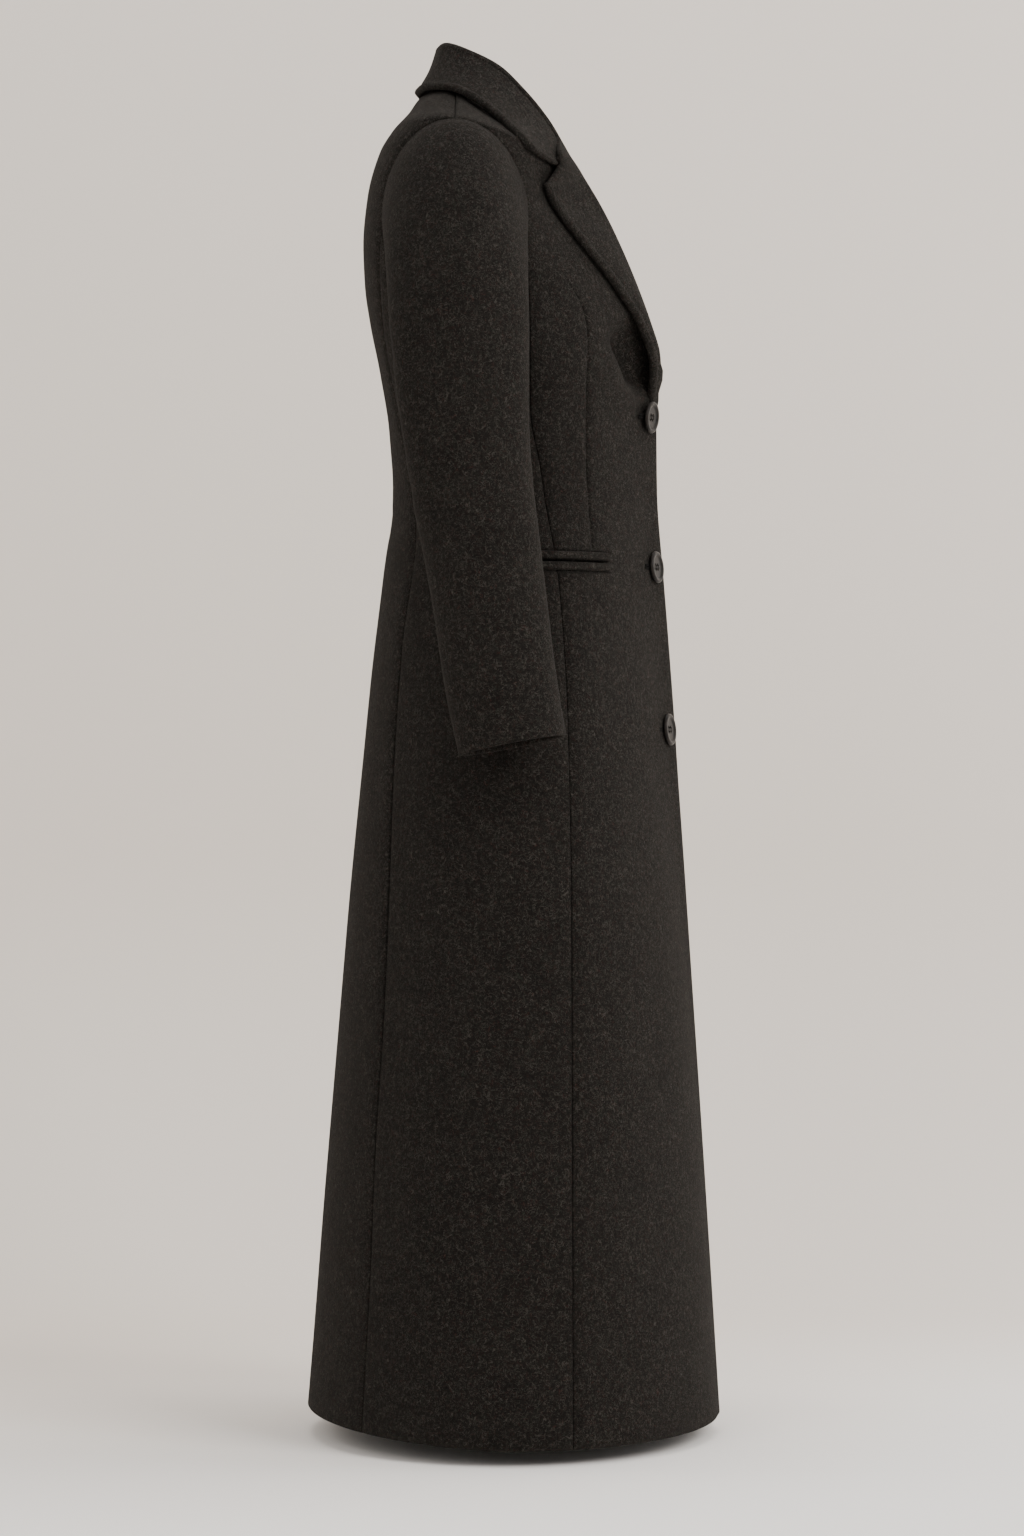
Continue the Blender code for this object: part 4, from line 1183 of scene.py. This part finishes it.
def lapel_rows():
    """The lapel's middle line: it wraps the front's edge and lies back on the chest."""
    def surface(u, v):
        return front_point(u, min(v, NECKLINE - STEP), False)

    clear = LAPEL_CLEARANCE + FOLDED / 2

    def shell(u, v):
        return surface(u, v) + outward(surface, u, v) * clear

    rows = []
    low, high = LAPEL_EDGE[0][0], LAPEL_EDGE[-1][0]
    across, edge_level = 0.04, low
    for share in edged_shares(LAPEL_HEIGHT, count=LAPEL_ROWS):
        level = blend(low, high, share)
        edge = lapel_edge(level)
        across, edge_level = on_surface(shell, across, edge_level, edge.y, edge.z)
        sunk = LAPEL_SINK * (1 - ease((level - low) / LAPEL_TAPER))
        start = surface(0, level)
        normal = outward(surface, 0, level)
        ahead = (surface(0, level) - surface(0.02, level)).normalized()
        nose = ahead * (FOLDED / 2 + 3 * SEAM_GAP)
        row = [
            start + nose - normal * WALL,
            start + nose - normal * WALL * 0.4,
            start + nose + normal * 0.0002,
            start + nose * 0.86 + normal * clear * 0.55,
            start + nose * 0.45 + normal * clear * 0.90,
        ]
        for t in edged_shares(LAPEL_WIDTH, low_edge=False, count=LAPEL_ACROSS)[1:]:
            u, v = across * t, blend(level, edge_level, t)
            row.append(shell(u, v) + outward(surface, u, v) * LAPEL_LIFT * math.sin(math.pi * t))
        rows.append([point + Vector((0, sunk, 0)) for point in row])
    return rows


sew_pair("lapel", *thicken_folded(lapel_rows(), (False, True)), wool_collar, held="folded")


# Pockets. A double-welt pocket on each side at the hip: two narrow folded strips of
# the same wool with the slit between them, stitched in along their long edges.
WELT_RAISE = 0.0030


def welt_grids(low):
    """A welt as a half-round strip that follows the body, flatter at its outer edge."""
    outer, inner = [], []
    for up in steps(0, 1, 8):
        level = POCKET_HEIGHT + low + WELT_HEIGHT * up
        crown = WELT_RAISE * (0.25 + 0.75 * math.sqrt(max(1 - (2 * up - 1) ** 4, 0.0)))
        outer_row, inner_row = [], []
        for share in edged_shares(POCKET_LENGTH, count=40):
            angle = blend(pocket_front, pocket_back, share)
            ends = min(share, 1 - share) * POCKET_LENGTH
            height = crown - rounding(ends, 0.0018, crown * 0.9)
            normal = outward(form, angle, level)
            outer_row.append(form(angle, level) + normal * (height + SEAM_GAP))
            inner_row.append(form(angle, level) - normal * 0.0004)
        outer.append(outer_row)
        inner.append(inner_row)
    return outer, inner


for name, low in (("welt_upper", POCKET_SLIT / 2), ("welt_lower", -POCKET_SLIT / 2 - WELT_HEIGHT)):
    sew_pair(name, *welt_grids(low), wool_collar, held="folded")


# Buttons. Three turned discs of dark horn-like resin with a raised rim and a dished
# centre, each sewn through four holes, over a worked buttonhole in the right front.
BUTTON_INSET = 0.026
BUTTON_HEIGHTS = (-0.309, -0.4585, -0.620)
BUTTON_RADIUS = 0.016
BUTTON_THICK = 0.0046
BUTTON_SIDES = 64
HOLE_SPACING = 0.0026
HOLE_RADIUS = 0.00145
HORN_TINTS = ((0.0060, 0.0054, 0.0050, 1), (0.022, 0.017, 0.014, 1))
THREAD_RADIUS = 0.00024
STRANDS = (-0.0004, 0.0, 0.0004)
THREAD_TINTS = ((0.0022, 0.0020, 0.0018, 1), (0.0080, 0.0074, 0.0068, 1))
BUTTON_PROFILE = (
    (0.0, 0.0), (0.60, 0.0), (0.84, 0.08), (0.95, 0.24), (1.0, 0.50), (0.99, 0.70), (0.955, 0.88),
    (0.90, 0.98), (0.85, 1.0), (0.79, 0.97), (0.74, 0.86), (0.70, 0.70), (0.64, 0.61), (0.54, 0.58),
    (0.30, 0.56), (0.0, 0.555),
)


def horn_material():
    """Dark resin with faint brown clouds and fine polishing scratches."""
    material, shader, node, join = new_material("dark_horn")
    shader.inputs["IOR"].default_value = 1.30
    shader.inputs["Specular IOR Level"].default_value = 0.24
    place = {"Vector": node("ShaderNodeTexCoord").outputs["Object"]}
    swirl = node("ShaderNodeTexNoise", place, Scale=130.0, Detail=5.0, Roughness=0.6, Distortion=1.4)
    tint = node("ShaderNodeValToRGB", {"Fac": swirl.outputs["Fac"]})
    for element, position, color in zip(tint.color_ramp.elements, (0.35, 0.72), HORN_TINTS):
        element.position = position
        element.color = color
    join(tint.outputs["Color"], shader.inputs["Base Color"])
    scratch = node("ShaderNodeTexNoise", place, Scale=1500.0, Detail=2.0)
    rough = node("ShaderNodeMapRange", {"To Min": 0.26, "To Max": 0.40, "Value": scratch.outputs["Fac"]})
    join(rough.outputs[0], shader.inputs["Roughness"])
    bump = node("ShaderNodeBump", {"Height": scratch.outputs["Fac"]}, Strength=0.12, Distance=0.0002)
    join(bump.outputs[0], shader.inputs["Normal"])
    return material


def thread_material():
    """Dark twisted thread: fine slanting ply lines."""
    material, shader, node, join = new_material("charcoal_thread")
    shader.inputs["Roughness"].default_value = 0.8
    shader.inputs["Specular IOR Level"].default_value = 0.08
    place = {"Vector": node("ShaderNodeTexCoord").outputs["Object"]}
    ply = node("ShaderNodeTexWave", place, Scale=900.0, Distortion=1.0)
    dark, pale = THREAD_TINTS
    tint = node("ShaderNodeMix", {"A": dark, "B": pale, "Factor": ply.outputs["Fac"]}, data_type="RGBA")
    join(tint.outputs["Result"], shader.inputs["Base Color"])
    bump = node("ShaderNodeBump", {"Height": ply.outputs["Fac"]}, Strength=0.5, Distance=0.0002)
    join(bump.outputs[0], shader.inputs["Normal"])
    return material


dark_horn = horn_material()
charcoal_thread = thread_material()


def turned_disc(shell, profile, radius, thickness):
    rings = []
    turns = [2 * math.pi * i / BUTTON_SIDES for i in range(BUTTON_SIDES)]
    for share, rise in profile[1:-1]:
        reach, height = share * radius, rise * thickness
        rings.append([shell.verts.new((reach * math.cos(t), reach * math.sin(t), height)) for t in turns])
    bottom = shell.verts.new((0, 0, profile[0][1] * thickness))
    top = shell.verts.new((0, 0, profile[-1][1] * thickness))
    for i in range(BUTTON_SIDES):
        j = (i + 1) % BUTTON_SIDES
        shell.faces.new((bottom, rings[0][j], rings[0][i]))
        shell.faces.new((top, rings[-1][i], rings[-1][j]))
        for low, high in zip(rings, rings[1:]):
            shell.faces.new((low[i], low[j], high[j], high[i]))


def drilled_button(name):
    """The turned disc with four holes cut right through."""
    shell = bmesh.new()
    turned_disc(shell, BUTTON_PROFILE, BUTTON_RADIUS, BUTTON_THICK)
    disc = finished(name, shell, dark_horn)
    drills = bmesh.new()
    for x in (-HOLE_SPACING, HOLE_SPACING):
        for y in (-HOLE_SPACING, HOLE_SPACING):
            made = bmesh.ops.create_cone(
                drills, cap_ends=True, segments=20, radius1=HOLE_RADIUS, radius2=HOLE_RADIUS,
                depth=BUTTON_THICK * 3,
            )
            bmesh.ops.translate(drills, verts=made["verts"], vec=(x, y, 0))
    drill_mesh = bpy.data.meshes.new("drills")
    drills.to_mesh(drill_mesh)
    drills.free()
    cutter = link("drills", drill_mesh)
    cut = disc.modifiers.new("holes", "BOOLEAN")
    cut.object = cutter
    cut.operation = "DIFFERENCE"
    bpy.context.view_layer.update()
    drilled = bpy.data.meshes.new_from_object(disc.evaluated_get(bpy.context.evaluated_depsgraph_get()))
    disc.modifiers.clear()
    disc.data = drilled
    bpy.data.objects.remove(cutter, do_unlink=True)
    drilled.shade_smooth()
    drilled.set_sharp_from_angle(angle=math.radians(38))
    return disc


def tube_mesh(name, paths, radius, material, sides=8):
    """Short lengths of thread as closed tubes along given points."""
    shell = bmesh.new()
    for path in paths:
        rings = []
        for i, point in enumerate(path):
            ahead = (path[min(i + 1, len(path) - 1)] - path[max(i - 1, 0)]).normalized()
            if rings:
                out = (out - ahead * out.dot(ahead)).normalized()
            else:
                out = ahead.orthogonal().normalized()
            side = ahead.cross(out)
            rings.append([
                shell.verts.new(point + (out * math.cos(t) + side * math.sin(t)) * radius)
                for t in (2 * math.pi * k / sides for k in range(sides))
            ])
        for low, high in zip(rings, rings[1:]):
            for k in range(sides):
                m = (k + 1) % sides
                shell.faces.new((low[k], low[m], high[m], high[k]))
        shell.faces.new(list(reversed(rings[0])))
        shell.faces.new(rings[-1])
    return finished(name, shell, material)


def button_seat(angle, height, normal):
    """How far off the cloth a flat button sits, so that it just clears the curve."""
    centre = form(angle, height)
    rise = 0.0
    for turn in steps(-0.16, 0.16, 32):
        for up in steps(-BUTTON_RADIUS, BUTTON_RADIUS, 8):
            offset = form(angle + turn, height + up) - centre
            if (offset - normal * offset.dot(normal)).length < BUTTON_RADIUS:
                rise = max(rise, offset.dot(normal))
    return rise + 3 * SEAM_GAP


BUTTONHOLE_LENGTH = 0.036
BUTTONHOLE_HALF_HEIGHT = 0.0012
STITCH_THICKNESS = 0.00042
STITCHES_A_SIDE = 34


def buttonhole_paths(angle, height):
    """Close upright stitches round a level slot, each a small arch over its lip."""
    paths = []
    radius = (form(angle, height) - Vector((0, section(height).middle_y, height))).length
    for number in range(STITCHES_A_SIDE * 2):
        t = number / STITCHES_A_SIDE
        upper = t < 1
        along = (t if upper else 2 - t) * BUTTONHOLE_LENGTH - BUTTONHOLE_LENGTH * 0.30
        sign = 1 if upper else -1
        turn = angle + along / radius
        arch = []
        for share in steps(0, 1, 5):
            level = height + sign * (0.0003 + share * BUTTONHOLE_HALF_HEIGHT * 1.9)
            lift = 0.0002 + 0.0007 * math.sin(math.pi * min(share + 0.12, 1))
            point = form(turn, level) + outward(form, turn, level) * lift
            arch.append(Vector((-point.x, point.y, point.z)))
        paths.append(arch)
    return paths


for number, height in enumerate(BUTTON_HEIGHTS, start=1):
    angle = 0.0
    while (form(angle, height) - form(0, height)).length < BUTTON_INSET:
        angle += 0.001
    normal = outward(form, angle, height)
    centre = form(angle, height) + normal * button_seat(angle, height, normal)
    normal.x, centre.x = -normal.x, -centre.x
    turn = normal.to_track_quat("Z", "Y").to_matrix().to_4x4()
    turn.translation = centre
    button = drilled_button("button_%d_horn" % number)
    button.data.transform(turn)
    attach(button, "root")
    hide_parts("button_%d" % number)
    threads = []
    for x in (-HOLE_SPACING, HOLE_SPACING):
        for strand in STRANDS:
            arch = []
            for share in steps(-1, 1, 14):
                rise = BUTTON_THICK * 0.60 + 0.0007 * (1 - share**4) - 0.0030 * abs(share) ** 12
                arch.append(turn @ Vector((x + strand, share * HOLE_SPACING * 1.08, rise)))
            threads.append(arch)
    cross = tube_mesh("button_%d_thread" % number, threads, THREAD_RADIUS, charcoal_thread)
    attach(cross, "root")
    stitches = buttonhole_paths(angle, height)
    hole = tube_mesh("buttonhole_%d" % number, stitches, STITCH_THICKNESS, charcoal_thread, 6)
    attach(hole, "root")
